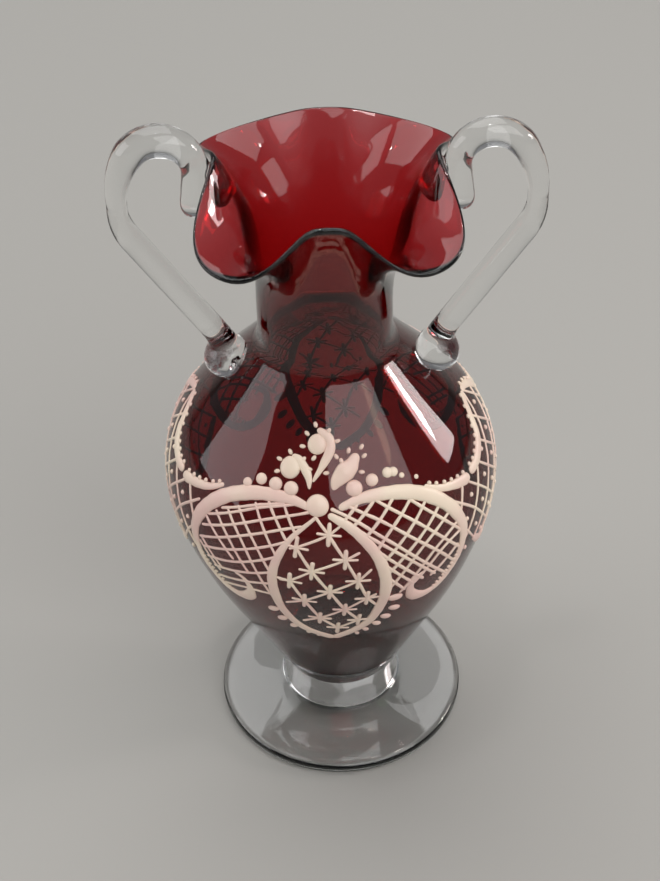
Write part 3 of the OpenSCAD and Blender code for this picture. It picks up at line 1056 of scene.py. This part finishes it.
@dataclass
class EnamelBrush:
    """Lays domed strokes and dabs of enamel on the outside of the body."""

    outline: BodyOutline
    material: bpy.types.Material
    sunk: float = 0.14
    feel: float = 0.25
    thread_rise: float = 0.42
    seed: int = 7
    bars: dict[tuple[int, int], bpy.types.Mesh] = field(default_factory=dict)
    domes: dict[int, bpy.types.Mesh] = field(default_factory=dict)
    laid: list[bpy.types.Object] = field(default_factory=list)
    turn: float = 0.0

    def __post_init__(self) -> None:
        """Starts the draws that make the hand's unevenness."""
        self.hand = np.random.default_rng(self.seed)

    def bar(self, rings: int, section: int) -> bpy.types.Mesh:
        """Models a plain bar of enamel once, to be copied for every stroke.

        Args:
            rings: Number of rings along it.
            section: Number of points round it.

        Returns:
            A closed round bar along x, one unit between its rings.
        """
        if (rings, section) not in self.bars:
            start_clean()
            bpy.ops.mesh.primitive_circle_add(
                vertices=section, radius=1, fill_type="NGON", rotation=(0, math.radians(90), 0)
            )
            piece = bpy.context.object
            bpy.ops.object.transform_apply(location=True, rotation=True, scale=True)
            bpy.ops.object.mode_set(mode="EDIT")
            bpy.ops.mesh.select_all(action="SELECT")
            for _ in range(rings - 1):
                bpy.ops.mesh.extrude_region_move(TRANSFORM_OT_translate={"value": (1, 0, 0)})
            bpy.ops.object.mode_set(mode="OBJECT")
            close_and_smooth(piece)
            self.bars[(rings, section)] = piece.data
            bpy.data.objects.remove(piece)
        return self.bars[(rings, section)]

    def dome(self, segments: int) -> bpy.types.Mesh:
        """Models a round drop of enamel once, to be copied for every dab.

        Args:
            segments: Number of points round it.

        Returns:
            A ball of radius 1 with its pole upwards.
        """
        if segments not in self.domes:
            start_clean()
            rings = max(6, segments // 2)
            bpy.ops.mesh.primitive_uv_sphere_add(segments=segments, ring_count=rings, radius=1)
            piece = bpy.context.object
            close_and_smooth(piece)
            self.domes[segments] = piece.data
            bpy.data.objects.remove(piece)
        return self.domes[segments]

    def on_glass(self, azimuth: np.ndarray, height: np.ndarray, lift: np.ndarray) -> np.ndarray:
        """Places points on or above the body's outer surface.

        Args:
            azimuth: Azimuth from the middle of the panel.
            height: Height above the table.
            lift: Distance out from the surface.

        Returns:
            One row of x, y, z for each point, in metres.
        """
        radius, slope = self.outline.radius(height), self.outline.slope(height)
        size = np.sqrt(1 + slope**2)
        reach = radius + lift / size
        turn = np.radians(azimuth + self.turn)
        level = height - lift * slope / size
        across = reach * np.sin(turn) - LEAN.at(level)
        return np.stack([across, -reach * np.cos(turn), level], axis=-1) * MM

    def scale_at(self, height: np.ndarray) -> tuple[np.ndarray, np.ndarray]:
        """Millimetres of surface for a degree of azimuth, and for a millimetre of height."""
        return np.radians(1) * self.outline.radius(height), np.sqrt(1 + self.outline.slope(height) ** 2)

    def copy_of(self, mesh: bpy.types.Mesh) -> bpy.types.Object:
        """Sets out a copy of a modelled shape, with its own mesh."""
        piece = bpy.data.objects.new("stroke", mesh.copy())
        bpy.context.scene.collection.objects.link(piece)
        self.laid.append(piece)
        return piece

    @staticmethod
    def curve(points: Stroke, steps: int) -> np.ndarray:
        """Runs a smooth curve through control points.

        Args:
            points: Azimuth, height and width of each control point.
            steps: Number of steps from one control point to the next.

        Returns:
            Rows of azimuth, height and width.
        """
        p = np.array(points, float)
        last = len(p) - 1
        rows = []
        for i in range(last):
            a, b, c, d = p[max(i - 1, 0)], p[i], p[i + 1], p[min(i + 2, last)]
            for t in (j / steps for j in range(steps)):
                rows.append(
                    0.5
                    * (
                        2 * b
                        + (c - a) * t
                        + (2 * a - 5 * b + 4 * c - d) * t**2
                        + (3 * b - 3 * c + d - a) * t**3
                    )
                )
        rows.append(p[last])
        return np.array(rows)

    def stroke(
        self, points: Stroke, height: float, rings: int = 40, section: int = 14, uneven: float = 0.05
    ) -> None:
        """Lays one stroke with round ends.

        Args:
            points: Azimuth, height above the table and width of each control point.
            height: How far the middle of the stroke stands out, as a share of its width.
            rings: Number of rings along it.
            section: Number of points round it.
            uneven: Share by which the width wanders.
        """
        path = self.curve(points, 12)
        across_mm, up_mm = self.scale_at(path[:, 1])
        steps = np.hypot(np.diff(path[:, 0]) * across_mm[1:], np.diff(path[:, 1]) * up_mm[1:])
        run = np.concatenate([[0], np.cumsum(steps)])
        total = run[-1]
        end_start, end_last = min(path[0, 2] / 2, total * 0.4), min(path[-1, 2] / 2, total * 0.4)
        swell = np.array([0.02, 0.13, 0.45])
        places = np.concatenate(
            [
                swell * end_start,
                np.linspace(end_start, total - end_last, rings - 6),
                total - swell[::-1] * end_last,
            ]
        )
        from_end = np.minimum(places / end_start, (total - places) / end_last)
        full = np.sqrt(np.clip(1 - (1 - np.clip(from_end, 0, 1)) ** 2, 0, 1))
        phase = self.hand.uniform(0, math.tau, 2)
        wander = 1 + uneven * (np.sin(places * 0.9 + phase[0]) + np.sin(places * 2.3 + phase[1])) / 2
        azimuth, level, width = (np.interp(places, run, path[:, k]) for k in range(3))
        ahead = [np.interp(places + self.feel, run, path[:, k]) for k in range(2)]
        behind = [np.interp(places - self.feel, run, path[:, k]) for k in range(2)]
        across_mm, up_mm = self.scale_at(level)
        way = np.stack([(ahead[0] - behind[0]) * across_mm, (ahead[1] - behind[1]) * up_mm])
        way /= np.maximum(np.linalg.norm(way, axis=0), 1e-9)
        piece = self.copy_of(self.bar(rings, section))
        bar = vertices_of(piece)
        ring = np.clip(np.rint(bar[:, 0]).astype(int), 0, rings - 1)
        half = (width * full * wander / 2)[ring]
        side = bar[:, 1] * half
        top = (width * height * wander * np.sqrt(full))[ring]
        rise = np.where(bar[:, 2] > 0, bar[:, 2] * top, bar[:, 2] * self.sunk)
        new_azimuth = azimuth[ring] - side * way[1][ring] / across_mm[ring]
        new_level = level[ring] + side * way[0][ring] / up_mm[ring]
        move_vertices(piece, self.on_glass(new_azimuth, new_level, rise))

    def dab(self, at: Point, radii: Point, height: float, lean: float = 0.0, segments: int = 14) -> None:
        """Sets down one round or oval dab.

        Args:
            at: Azimuth and height of its middle.
            radii: Its half length and half width.
            height: How far it stands out.
            lean: Turn of its length from the horizontal.
            segments: Number of points round it.
        """
        piece = self.copy_of(self.dome(segments))
        ball = vertices_of(piece)
        c, s = math.cos(math.radians(lean)), math.sin(math.radians(lean))
        x, y = ball[:, 0] * radii[0], ball[:, 1] * radii[1]
        across_mm, up_mm = self.scale_at(np.array([at[1]]))
        azimuth = at[0] + (x * c - y * s) / across_mm[0]
        level = at[1] + (x * s + y * c) / up_mm[0]
        rise = np.where(ball[:, 2] > 0, ball[:, 2] * height, ball[:, 2] * self.sunk)
        move_vertices(piece, self.on_glass(azimuth, level, rise))

    def thread(self, start: Point, end: Point, width: float, rings: int = 12) -> None:
        """Draws one fine thread between two points, given by azimuth and height."""
        middle = ((start[0] + end[0]) / 2, (start[1] + end[1]) / 2)
        points = [(*start, width), (*middle, width), (*end, width)]
        self.stroke(points, self.thread_rise, rings, 8, 0.12)

    def gather(self, name: str, node: str) -> bpy.types.Object:
        """Joins what was laid into one piece.

        Args:
            name: The piece's name.
            node: The plain solid that it stands for.

        Returns:
            The finished piece.
        """
        start_clean()
        for piece in self.laid:
            piece.select_set(True)
        bpy.context.view_layer.objects.active = self.laid[0]
        if len(self.laid) > 1:
            bpy.ops.object.join()
        whole = bpy.context.view_layer.objects.active
        whole.name = whole.data.name = name
        self.laid = []
        close_and_smooth(whole)
        return finish_piece(whole, self.material, "cream_enamel", node)


def inside(point: Point, outline: Sequence[Point]) -> bool:
    """Tells whether a point lies inside a closed outline."""
    x, y = point
    found = False
    for (x0, y0), (x1, y1) in zip(outline, [*outline[1:], outline[0]]):
        if (y0 > y) != (y1 > y) and x < (x1 - x0) * (y - y0) / (y1 - y0) + x0:
            found = not found
    return found


def lay_thread_inside(brush: EnamelBrush, points: Stroke, outline: Sequence[Point]) -> None:
    """Draws a fine thread, as far as it lies inside an outline.

    Args:
        brush: What lays it.
        points: Azimuth, height and width of its control points.
        outline: Azimuth and height of the closed outline's corners.
    """
    run: list[tuple[float, float, float]] = []
    for row in [*brush.curve(points, 24).tolist(), None]:
        if row and inside((row[0], row[1]), outline):
            run.append(tuple(row))
            continue
        if len(run) > 4:
            keep = [run[round(i * (len(run) - 1) / 4)] for i in range(5)]
            brush.stroke(keep, brush.thread_rise, 16, 8, 0.1)
        run = []


MEDALLION = {
    Side.LEFT: (
        (-3, 87.6, 0.7), (-11.2, 83.6, 1.1), (-16, 79.1, 1.7), (-18.8, 73.5, 2.1), (-19, 67.7, 2.3),
        (-17.4, 60.2, 2.1), (-11.6, 53.6, 2), (0, 49, 1.9),
    ),
    Side.RIGHT: (
        (1, 87.9, 1.4), (8.7, 85.2, 2.1), (14.8, 80.8, 2.3), (18.1, 75.9, 2.5), (19.4, 69.6, 2.7),
        (17.9, 62.4, 2.5), (12.8, 55, 2.3), (0, 49, 1.9),
    ),
}
WING = (
    (5, 88.8, 1.3), (14.3, 90, 2.3), (27, 89.6, 3), (38.5, 87.2, 3.2), (47, 82.4, 3.1),
    (51.6, 75.8, 2.7), (51.2, 69.8, 2.3), (48, 64.2, 1.9), (42.5, 60.9, 2), (35.8, 60.2, 2.5),
    (30.6, 62, 3), (28.6, 65.4, 1.8), (30.4, 68.4, 1.1), (34, 69.3, 0.8),
)
STARS = (
    (1, 84.1), (-10.3, 81.2), (-5.2, 75.7), (6.1, 78.5), (-13, 72.3), (0.3, 69.6), (9.9, 72.5),
    (-8.7, 66.1), (5, 62.6), (12.8, 66.3), (-4.2, 59), (10, 57.4), (2, 54.3),
)
STAR_THREADS = (
    (0, 1), (0, 3), (1, 2), (3, 2), (3, 6), (2, 4), (2, 5), (6, 5), (6, 9), (4, 7), (5, 7),
    (5, 8), (9, 8), (8, 10), (7, 10), (8, 11), (10, 12), (11, 12),
)
# The star that each outer thread starts from, and where it meets the border
STAR_TIES = (
    (0, (-3.9, 87.6)), (0, (5.1, 85.7)), (3, (11.2, 79.9)), (6, (14.7, 75.3)), (9, (16.2, 67.2)),
    (9, (16, 63)), (1, (-12.8, 80.7)), (4, (-16.6, 72.2)), (7, (-15.6, 64.2)), (10, (-11, 57)),
)
LEAF_HEADS = ((-3.9, 98.6, 2.1), (-15.7, 94.7, 2.3))
LEAVES = (
    (
        (-4, 100.9, 0.8), (-0.9, 100.3, 1.7), (2.2, 99.5, 1.95), (3, 98.3, 1.95), (2, 97.2, 1.95),
        (0, 96, 1.7), (-2.2, 94.7, 1.2), (-4.1, 93.6, 0.8), (-5.1, 92.9, 0.4),
    ),
    (
        (-15.7, 96.6, 0.8), (-12.4, 96.1, 1.7), (-9.6, 95.1, 1.95), (-7.9, 94.2, 1.8),
        (-6.9, 93.3, 1.4), (-6.6, 92.5, 0.9), (-6.4, 91.8, 0.4),
    ),
    (
        (3.3, 91.7, 0.9), (4.9, 92.9, 2.5), (8.1, 94.1, 3.9), (11.4, 95, 3.5), (13.3, 95.8, 2.3),
        (15.5, 96.8, 1.7),
    ),
)
LEAF_MIDDLES = ((-2, 98), (-12.5, 95), (9, 94.5))
LEAF_DOTS = (
    (-5.2, 101.5), (-9.6, 100.1), (-11.2, 98.1), (-5.2, 96.5), (2.3, 100.6), (6.6, 99), (5.5, 96.7),
    (0.6, 94.3), (-10, 96.2), (-16.9, 97), (-21.4, 95.6), (-21.2, 93.7), (-7, 94.8), (11.7, 97.4),
    (18.4, 97.6), (18.8, 96.2), (7.7, 96), (16.1, 93.9),
)
BEADS = (
    (-32.5, 90.6, 1), (-27.1, 91.9, 1.2), (-20.6, 91.8, 1.4), (-13.9, 91.6, 1.5), (11.8, 91.7, 1.7),
    (19.7, 92.4, 1.3), (27, 92.8, 1.1), (29.6, 92.6, 1), (32.6, 91.6, 0.6), (38.3, 90.4, 0.5),
)
# Azimuth, height, half length and lean of each petal under the medallion
PETALS = (
    (-21.4, 59.9, 1.3, -28), (-19.1, 56.3, 1.25, -36), (-15.2, 53.7, 1.1, -44), (-9.6, 51.6, 0.9, -58),
    (-6, 50.2, 0.7, -70), (23, 64, 1.6, 12), (23.4, 59.5, 1.3, 28), (20.5, 56.5, 1.25, 36),
    (17.2, 54.1, 1.1, 44), (13, 52.1, 0.9, 56), (9.6, 50.6, 0.7, 70),
)
# Azimuths and heights along each fine thread of the two wings' nets
NET = {
    Side.LEFT: (
        ((-38.8, 84.5), (-26.9, 87.5), (-17, 89)),
        ((-44, 81.6), (-26, 87.1), (-10.7, 89.3)),
        ((-46.4, 78.1), (-29, 83.7), (-17.9, 86.4), (-7.2, 88)),
        ((-47.9, 74.3), (-30.6, 80.4), (-17.3, 84), (-9.7, 85.3)),
        ((-46.6, 71.9), (-30.7, 77), (-15.3, 81.6)),
        ((-45.3, 69.4), (-34, 72.5), (-18.7, 77.6)),
        ((-42.6, 67.5), (-26.3, 71.6), (-18.8, 73.8)),
        ((-41.4, 64.5), (-31.3, 67.3), (-20.2, 69.9)),
        ((-39.5, 62.6), (-30.1, 65.2), (-19.7, 66.2)),
        ((-48.3, 71.8), (-42.2, 67.4)),
        ((-47.1, 73.5), (-40.9, 69)),
        ((-45.4, 80.2), (-38.5, 76.5), (-34.5, 74.1)),
        ((-41, 82.4), (-34.5, 77.9), (-28.6, 72)),
        ((-36.4, 84.1), (-30.5, 79.8), (-26, 74.6), (-20.4, 65.7)),
        ((-32.4, 85.5), (-25.1, 80), (-19.3, 73.2)),
        ((-26, 87.1), (-22.4, 83.8), (-17.7, 78.9)),
        ((-20.9, 88.1), (-17.3, 85.4), (-14.3, 82.7)),
        ((-15.7, 88.9), (-11.3, 84.6)),
    ),
    Side.RIGHT: (
        ((32.2, 87.6), (41.1, 81.9), (50.6, 74.6)),
        ((19.7, 89.1), (28.3, 85.2), (37, 79.9), (48.6, 70.8)),
        ((10.3, 88.6), (19.5, 85.6), (28.6, 80.8), (38.9, 73.8), (47.5, 66.6)),
        ((3.3, 88.5), (10.8, 86.4), (20.3, 81.7), (28.5, 76.3), (44.1, 64)),
        ((10, 85.3), (19.8, 80.2), (28.4, 74.6), (37.8, 67.2)),
        ((16.7, 79.7), (23.4, 74.9), (28.6, 70.9), (32.5, 67.9)),
        ((18.5, 76.1), (28.9, 67.7)),
        ((19.8, 71.9), (25.6, 66.6)),
        ((6.4, 86.5), (10.9, 88.6)),
        ((9.5, 85.3), (17.9, 89)),
        ((12.9, 82.6), (24.9, 88.3)),
        ((17, 79.6), (22.3, 83), (32, 87.3)),
        ((18.6, 76.3), (29.5, 81.9), (37.3, 85.6)),
        ((19.5, 72.4), (28.6, 77.4), (42.4, 83.5)),
        ((20.4, 67.7), (32, 76.1), (45.9, 81)),
        ((25.7, 66), (36.9, 73.9), (49.4, 77.7)),
        ((30.8, 67.5), (40.9, 73.2), (50.2, 74.8)),
        ((37.8, 67.2), (47.8, 71)),
    ),
}


@dataclass
class PaintedFace:
    """The large motif on one face: medallion with stars, two netted wings, beads and leaves."""

    face: Face
    brush: EnamelBrush
    boss_at: Point = (-3, 89.3)
    boss_r: float = 2.3
    thread_w: float = 0.6
    falling_w: float = 0.72
    star_w: float = 0.95
    net_w: float = 0.7
    net_w_change: float = 0.06
    net_tuck: float = 1.4
    net_rise: float = 0.36
    border_rise: float = 0.18
    spikes: int = 14
    star_lying: Point = (4.4, 0.33)
    star_upright: Point = (2.4, 0.45)

    def name(self, piece: str) -> tuple[str, str]:
        """Names of a piece and of the plain solid that it stands for."""
        node = f"{self.face.name.lower()}_{piece}"
        return f"{node}_enamel", node

    def medallion(self) -> None:
        """Draws the two sides of the medallion."""
        for side in Side:
            self.brush.stroke(MEDALLION[side], self.border_rise, 64, 16)
        self.brush.gather(*self.name("medallion"))

    def stars(self) -> None:
        """Sets the stars and the threads that join them."""
        lying, fall = self.star_lying
        upright, lean = self.star_upright
        for azimuth, height in STARS:
            left, right = (azimuth - lying, height + fall), (azimuth + lying, height - fall)
            self.brush.thread(left, right, self.thread_w, 14)
            low, high = (azimuth - lean, height - upright), (azimuth + lean, height + upright)
            self.brush.thread(low, high, self.star_w, 14)
            self.brush.dab((azimuth, height), (0.6, 0.6), 0.42, 0, 10)
        ends = [(STARS[first], STARS[second]) for first, second in STAR_THREADS]
        ends += [(STARS[star], border) for star, border in STAR_TIES]
        for start, end in ends:
            falls = (end[0] - start[0]) * (end[1] - start[1]) < 0
            self.brush.thread(start, end, self.falling_w if falls else self.thread_w, 14)
        self.brush.gather(*self.name("star_lattice"))

    def past_end(self, before: Point, end: Point) -> Point:
        """Carries a thread on past its end, so that it tucks under the border."""
        way = Vector(end) - Vector(before)
        return tuple(Vector(end) + way.normalized() * self.net_tuck)

    def wing(self, side: Side) -> None:
        """Draws one wing's outline, then fills it with its net.

        Args:
            side: Which wing.
        """
        sign = side.value
        outline = [(sign * a, z, w) for a, z, w in WING]
        self.brush.stroke(outline, self.border_rise, 110, 16)
        for i in range(self.spikes):
            share = i / (self.spikes - 1)
            at = (sign * (51.5 - 13 * share**1.3), 71 - 10.6 * share)
            self.brush.dab(at, (0.7, 0.4), 0.35, -sign * (10 + 50 * share), 8)
        self.brush.gather(*self.name(f"{side.name.lower()}_wing_border"))
        width = self.net_w + self.net_w_change * sign
        for path in NET[side]:
            ends = (self.past_end(path[1], path[0]), *path[1:-1], self.past_end(path[-2], path[-1]))
            points = [(a, z, width) for a, z in ends]
            self.brush.stroke(points, self.net_rise, 10 + 8 * len(path), 8, 0.12)
        self.brush.gather(*self.name(f"{side.name.lower()}_wing_net"))

    def small_work(self) -> None:
        """Sets the boss, the bead row, the leaves with their dots and the lower petals."""
        self.brush.dab(self.boss_at, (self.boss_r, self.boss_r), 0.9, 0, 28)
        self.brush.gather(*self.name("boss"))
        for azimuth, height, radius in BEADS:
            self.brush.dab((azimuth, height), (radius, radius), 0.5 * radius, 0, 20)
        self.brush.gather(*self.name("bead_row"))
        for leaf in LEAVES:
            self.brush.stroke(leaf, 0.24, 44, 18)
        for azimuth, height, radius in LEAF_HEADS:
            self.brush.dab((azimuth, height), (radius * 0.9, radius), 0.32 * radius, 0, 24)
        self.brush.gather(*self.name("leaf_spray"))
        across, up = (float(v[0]) for v in self.brush.scale_at(np.array([96.0])))
        for dot in LEAF_DOTS:
            ways = [((dot[0] - a) * across, (dot[1] - z) * up) for a, z in LEAF_MIDDLES]
            way = min(ways, key=lambda w: math.hypot(*w))
            lean = math.degrees(math.atan2(way[1], way[0]))
            self.brush.dab(dot, (0.66, 0.44), 0.4, lean, 12)
        self.brush.gather(*self.name("leaf_dots"))
        for azimuth, height, length, lean in PETALS:
            self.brush.dab((azimuth, height), (1.15 * length, 0.7 * length), 0.4 * length, -lean, 14)
        self.brush.gather(*self.name("lower_petals"))

    def build(self) -> None:
        """Paints the whole face."""
        self.brush.turn = self.face.value
        self.medallion()
        self.stars()
        self.wing(Side.LEFT)
        self.wing(Side.RIGHT)
        self.small_work()


ARCH = ((30, 84.4, 2.2), (24, 84.4, 2.4), (15.5, 86.4, 2.3), (10, 89.4, 1.9), (4, 91.4, 1.6), (0, 91.8, 1.3))
SCROLL = ((52, 88.4, 0.8), (46, 86.4, 1.6), (38, 84.8, 2.2), (31, 83.8, 2.9))
SKIRT = ((33, 68, 1.6), (26, 63.4, 2.2), (17, 60.4, 2.4), (8, 61.2, 2), (3, 64.4, 1.4))


# The left panel was laid a little further round to the back
PANEL_TURN = {Side.LEFT: -96.0, Side.RIGHT: 90.0}


@dataclass
class PaintedSide:
    """The narrow panel under one handle: scalloped border, wide net and dots."""

    side: Side
    brush: EnamelBrush
    net_slope: float = 52.0
    net_pitch: float = 5.2
    middle_z: float = 76.0
    net_w: float = 0.66
    rim_pitch: float = 2.1
    rim_gap: float = 0.25
    border_rise: float = 0.18

    def name(self, piece: str) -> tuple[str, str]:
        """Names of a piece and of the plain solid that it stands for."""
        node = f"{self.side.name.lower()}_panel_{piece}"
        return f"{node}_enamel", node

    def border(self) -> None:
        """Draws the scallops, scrolls and skirt on both halves."""
        for sign in (-1, 1):
            for line_points in (SCROLL, ARCH, SKIRT):
                self.brush.stroke([(sign * a, z, w) for a, z, w in line_points], self.border_rise, 36, 14)
        self.brush.gather(*self.name("border"))

    def wing_edge(self, sign: int) -> list[Point]:
        """Finds the outer edge of the neighbouring wing.

        Args:
            sign: -1 for the neighbour at lower azimuths, 1 for the one at higher azimuths.

        Returns:
            Azimuth from the middle of the panel and height of its corners, downwards.
        """
        face = Face.FRONT if sign != self.side.value else Face.BACK
        middle = face.value - PANEL_TURN[self.side]
        away = (middle + 180) % 360 - 180
        outer = [(a, z) for a, z, _ in WING if z < 83 and a > 45]
        return [(away - sign * a, z) for a, z in outer]

    def hole(self) -> list[Point]:
        """Azimuth and height of the corners of the netted area."""
        top = [(-a, z) for a, z, _ in ARCH] + [(a, z) for a, z, _ in ARCH[-2::-1]]
        low = [(a, z) for a, z, _ in SKIRT] + [(-a, z) for a, z, _ in SKIRT[::-1]]
        corner = SCROLL[2][:2]
        right = [corner, *self.wing_edge(1)]
        left = [*self.wing_edge(-1)[::-1], (-corner[0], corner[1])]
        return top + right + low + left

    def place(self, x: float, y: float) -> Point:
        """Azimuth and height of a point given in millimetres from the middle of the panel."""
        height = self.middle_z + y
        across, _ = self.brush.scale_at(np.array([min(max(height, 40), 95)]))
        return x / float(across[0]), height

    def net(self) -> None:
        """Fills the panel with its wide net."""
        hole = self.hole()
        for slope in (-self.net_slope, self.net_slope):
            c, s = math.cos(math.radians(slope)), math.sin(math.radians(slope))
            for i in range(-9, 10):
                off = i * self.net_pitch
                runs = ((run * c - off * s, run * s + off * c) for run in (-40, -20, 0, 20, 40))
                points = [(*self.place(x, y), self.net_w) for x, y in runs]
                lay_thread_inside(self.brush, points, hole)
        self.brush.gather(*self.name("net"))

    def rim_dots(self, points: Stroke) -> None:
        """Sets small dots along the upper edge of a stroke.

        Args:
            points: Azimuth, height and width of the stroke's control points.
        """
        path = self.brush.curve(points, 12)
        across, up = self.brush.scale_at(path[:, 1])
        steps = np.stack([np.diff(path[:, 0]) * across[1:], np.diff(path[:, 1]) * up[1:]], axis=-1)
        run = np.concatenate([[0], np.cumsum(np.linalg.norm(steps, axis=1))])
        for at in np.arange(self.rim_pitch / 2, run[-1], self.rim_pitch):
            i = min(int(np.searchsorted(run, at)), len(steps)) - 1
            way = steps[i] / np.linalg.norm(steps[i])
            out = np.array([-way[1], way[0]]) * (1 if way[0] > 0 else -1)
            off = path[i, 2] / 2 + self.rim_gap
            azimuth = float(path[i, 0] + out[0] * off / across[i])
            height = float(path[i, 1] + out[1] * off / up[i])
            self.brush.dab((azimuth, height), (0.5, 0.5), 0.4, 0, 10)

    def dots(self) -> None:
        """Sets a dot in each cell of the net and along the scallops and scrolls."""
        hole = self.hole()
        half_x = self.net_pitch / 2 / math.sin(math.radians(self.net_slope))
        half_y = self.net_pitch / 2 / math.cos(math.radians(self.net_slope))
        for row in range(-3, 5):
            for i in range(-9, 10):
                spot = self.place(i * half_x, row * half_y)
                if (row + i) % 2 and inside(spot, hole):
                    self.brush.dab(spot, (0.55, 0.55), 0.42, 0, 10)
        for sign in (-1, 1):
            for line_points in (SCROLL, ARCH):
                self.rim_dots([(sign * a, z, w) for a, z, w in line_points])
        self.brush.gather(*self.name("dots"))

    def build(self) -> None:
        """Paints the whole panel."""
        self.brush.turn = PANEL_TURN[self.side]
        self.border()
        self.net()
        self.dots()


# ------------------------------------------------------------------ studio


@dataclass
class Studio:
    """Seamless paper, soft lights and the camera."""

    paper: MattePaper
    floor_size: float = 6.0
    floor_z: float = -0.0003
    camera_at: tuple[float, float, float] = (0.0, -0.3047, 0.3678)
    camera_tilt: float = 46.51
    camera_yaw: float = 0.003
    camera_roll: float = -0.031
    lens: float = 81.15

    def floor(self) -> None:
        """Lays the paper just under the foot."""
        start_clean()
        bpy.ops.mesh.primitive_plane_add(size=self.floor_size, location=(0, 0, self.floor_z))
        sheet = bpy.context.object
        sheet.name = "paper_floor"
        sheet.data.materials.append(self.paper.build())

    def light(
        self, name: str, at: tuple[float, float, float], size: Point, power: float, colour: str
    ) -> None:
        """Hangs one soft rectangular light that faces the vase.

        Args:
            name: The light's name.
            at: Its place in metres.
            size: Its width and height in metres.
            power: Its power in watts.
            colour: Its colour, six hex digits.
        """
        start_clean()
        bpy.ops.object.light_add(type="AREA", location=at)
        lamp = bpy.context.object
        lamp.name = name
        lamp.data.shape = "RECTANGLE"
        lamp.data.size, lamp.data.size_y = size
        lamp.data.energy = power
        lamp.data.color = linear(colour)[:3]
        aim = Vector((0, 0, 0.08)) - Vector(at)
        lamp.rotation_euler = aim.to_track_quat("-Z", "Y").to_euler()

    def sky(self, colour: str, strength: float) -> None:
        """Sets the even light that comes from everywhere.

        Args:
            colour: Its colour, six hex digits.
            strength: Its brightness.
        """
        world = bpy.data.worlds.new("soft_surround")
        world.use_nodes = True
        background = world.node_tree.nodes["Background"]
        background.inputs["Color"].default_value = linear(colour)
        background.inputs["Strength"].default_value = strength
        bpy.context.scene.world = world

    def camera(self) -> None:
        """Sets up the camera above and in front of the vase."""
        start_clean()
        bpy.ops.object.camera_add(location=self.camera_at)
        camera = bpy.context.object
        camera.name = "view_from_above"
        up, across = Vector((0, 0, 1)), Vector((1, 0, 0))
        rotation = (
            Quaternion(up, self.camera_yaw)
            @ Quaternion(across, math.radians(self.camera_tilt))
            @ Quaternion(up, self.camera_roll)
        )
        camera.rotation_euler = rotation.to_euler()
        camera.data.sensor_fit = "AUTO"
        camera.data.sensor_width = 36.0
        camera.data.lens = self.lens
        camera.data.clip_start, camera.data.clip_end = 0.01, 20.0
        bpy.context.scene.camera = camera

    def build(self) -> None:
        """Sets up the whole studio."""
        self.floor()
        self.light("left_window_softbox", (-0.92, -0.15, 0.36), (0.7, 0.5), 2.3, "f4f2f4")
        self.light("right_window_softbox", (0.97, 0.12, 0.36), (0.3, 0.24), 2.0, "fff2f0")
        self.light("right_bright_strip", (0.96, 0.06, 0.42), (0.07, 0.1), 0.7, "ffffff")
        self.light("front_warm_lamp", (0.71, -0.53, 0.66), (0.1, 0.1), 0.06, "ffd9b8")
        self.light("front_key_softbox", (0.4, -0.62, 0.85), (1.1, 0.9), 6.5, "ffffff")
        self.light("overhead_softbox", (-0.15, 0.4, 1.05), (1.2, 1.2), 8.5, "ffffff")
        self.light("overhead_spark", (-0.1, -0.1, 1.1), (0.07, 0.07), 0.5, "ffffff")
        self.sky("eef0f4", 0.2)
        bpy.context.scene.view_settings.view_transform = "Standard"
        self.camera()


# ------------------------------------------------------------------ assembly


def main() -> None:
    """Builds the vase and its studio."""
    logging.basicConfig(level=logging.INFO, format="%(name)s: %(message)s")
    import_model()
    studio = Studio(MattePaper())
    studio.build()
    outline, lip = BodyOutline(), RuffledLip()
    # Gold ruby: blood red where one wall is looked through, nearly black through several
    ruby = BlownGlass("ruby_blown_glass", "ea0040", 2600.0, 0.01, 14.0, 0.05, 0.34)
    body = BlownBody(ruby, outline, lip)
    blown = body.build()
    # Colourless with a breath of grey-green in its depth
    clear = BlownGlass("clear_drawn_glass", "dfe6de", 14.0, 0.0, 7.0, 0.05).build()
    GlassFoot(clear, outline).build()
    GlassHandle(Side.LEFT, clear, outline, lip, body.root()).build(blown)
    GlassHandle(Side.RIGHT, clear, outline, lip, body.root(), loop_thick=2.95).build(blown)
    brush = EnamelBrush(outline, FiredEnamel().build())
    for face in Face:
        PaintedFace(face, brush).build()
    for side in Side:
        PaintedSide(side, brush).build()


if __name__ == "__main__":
    main()
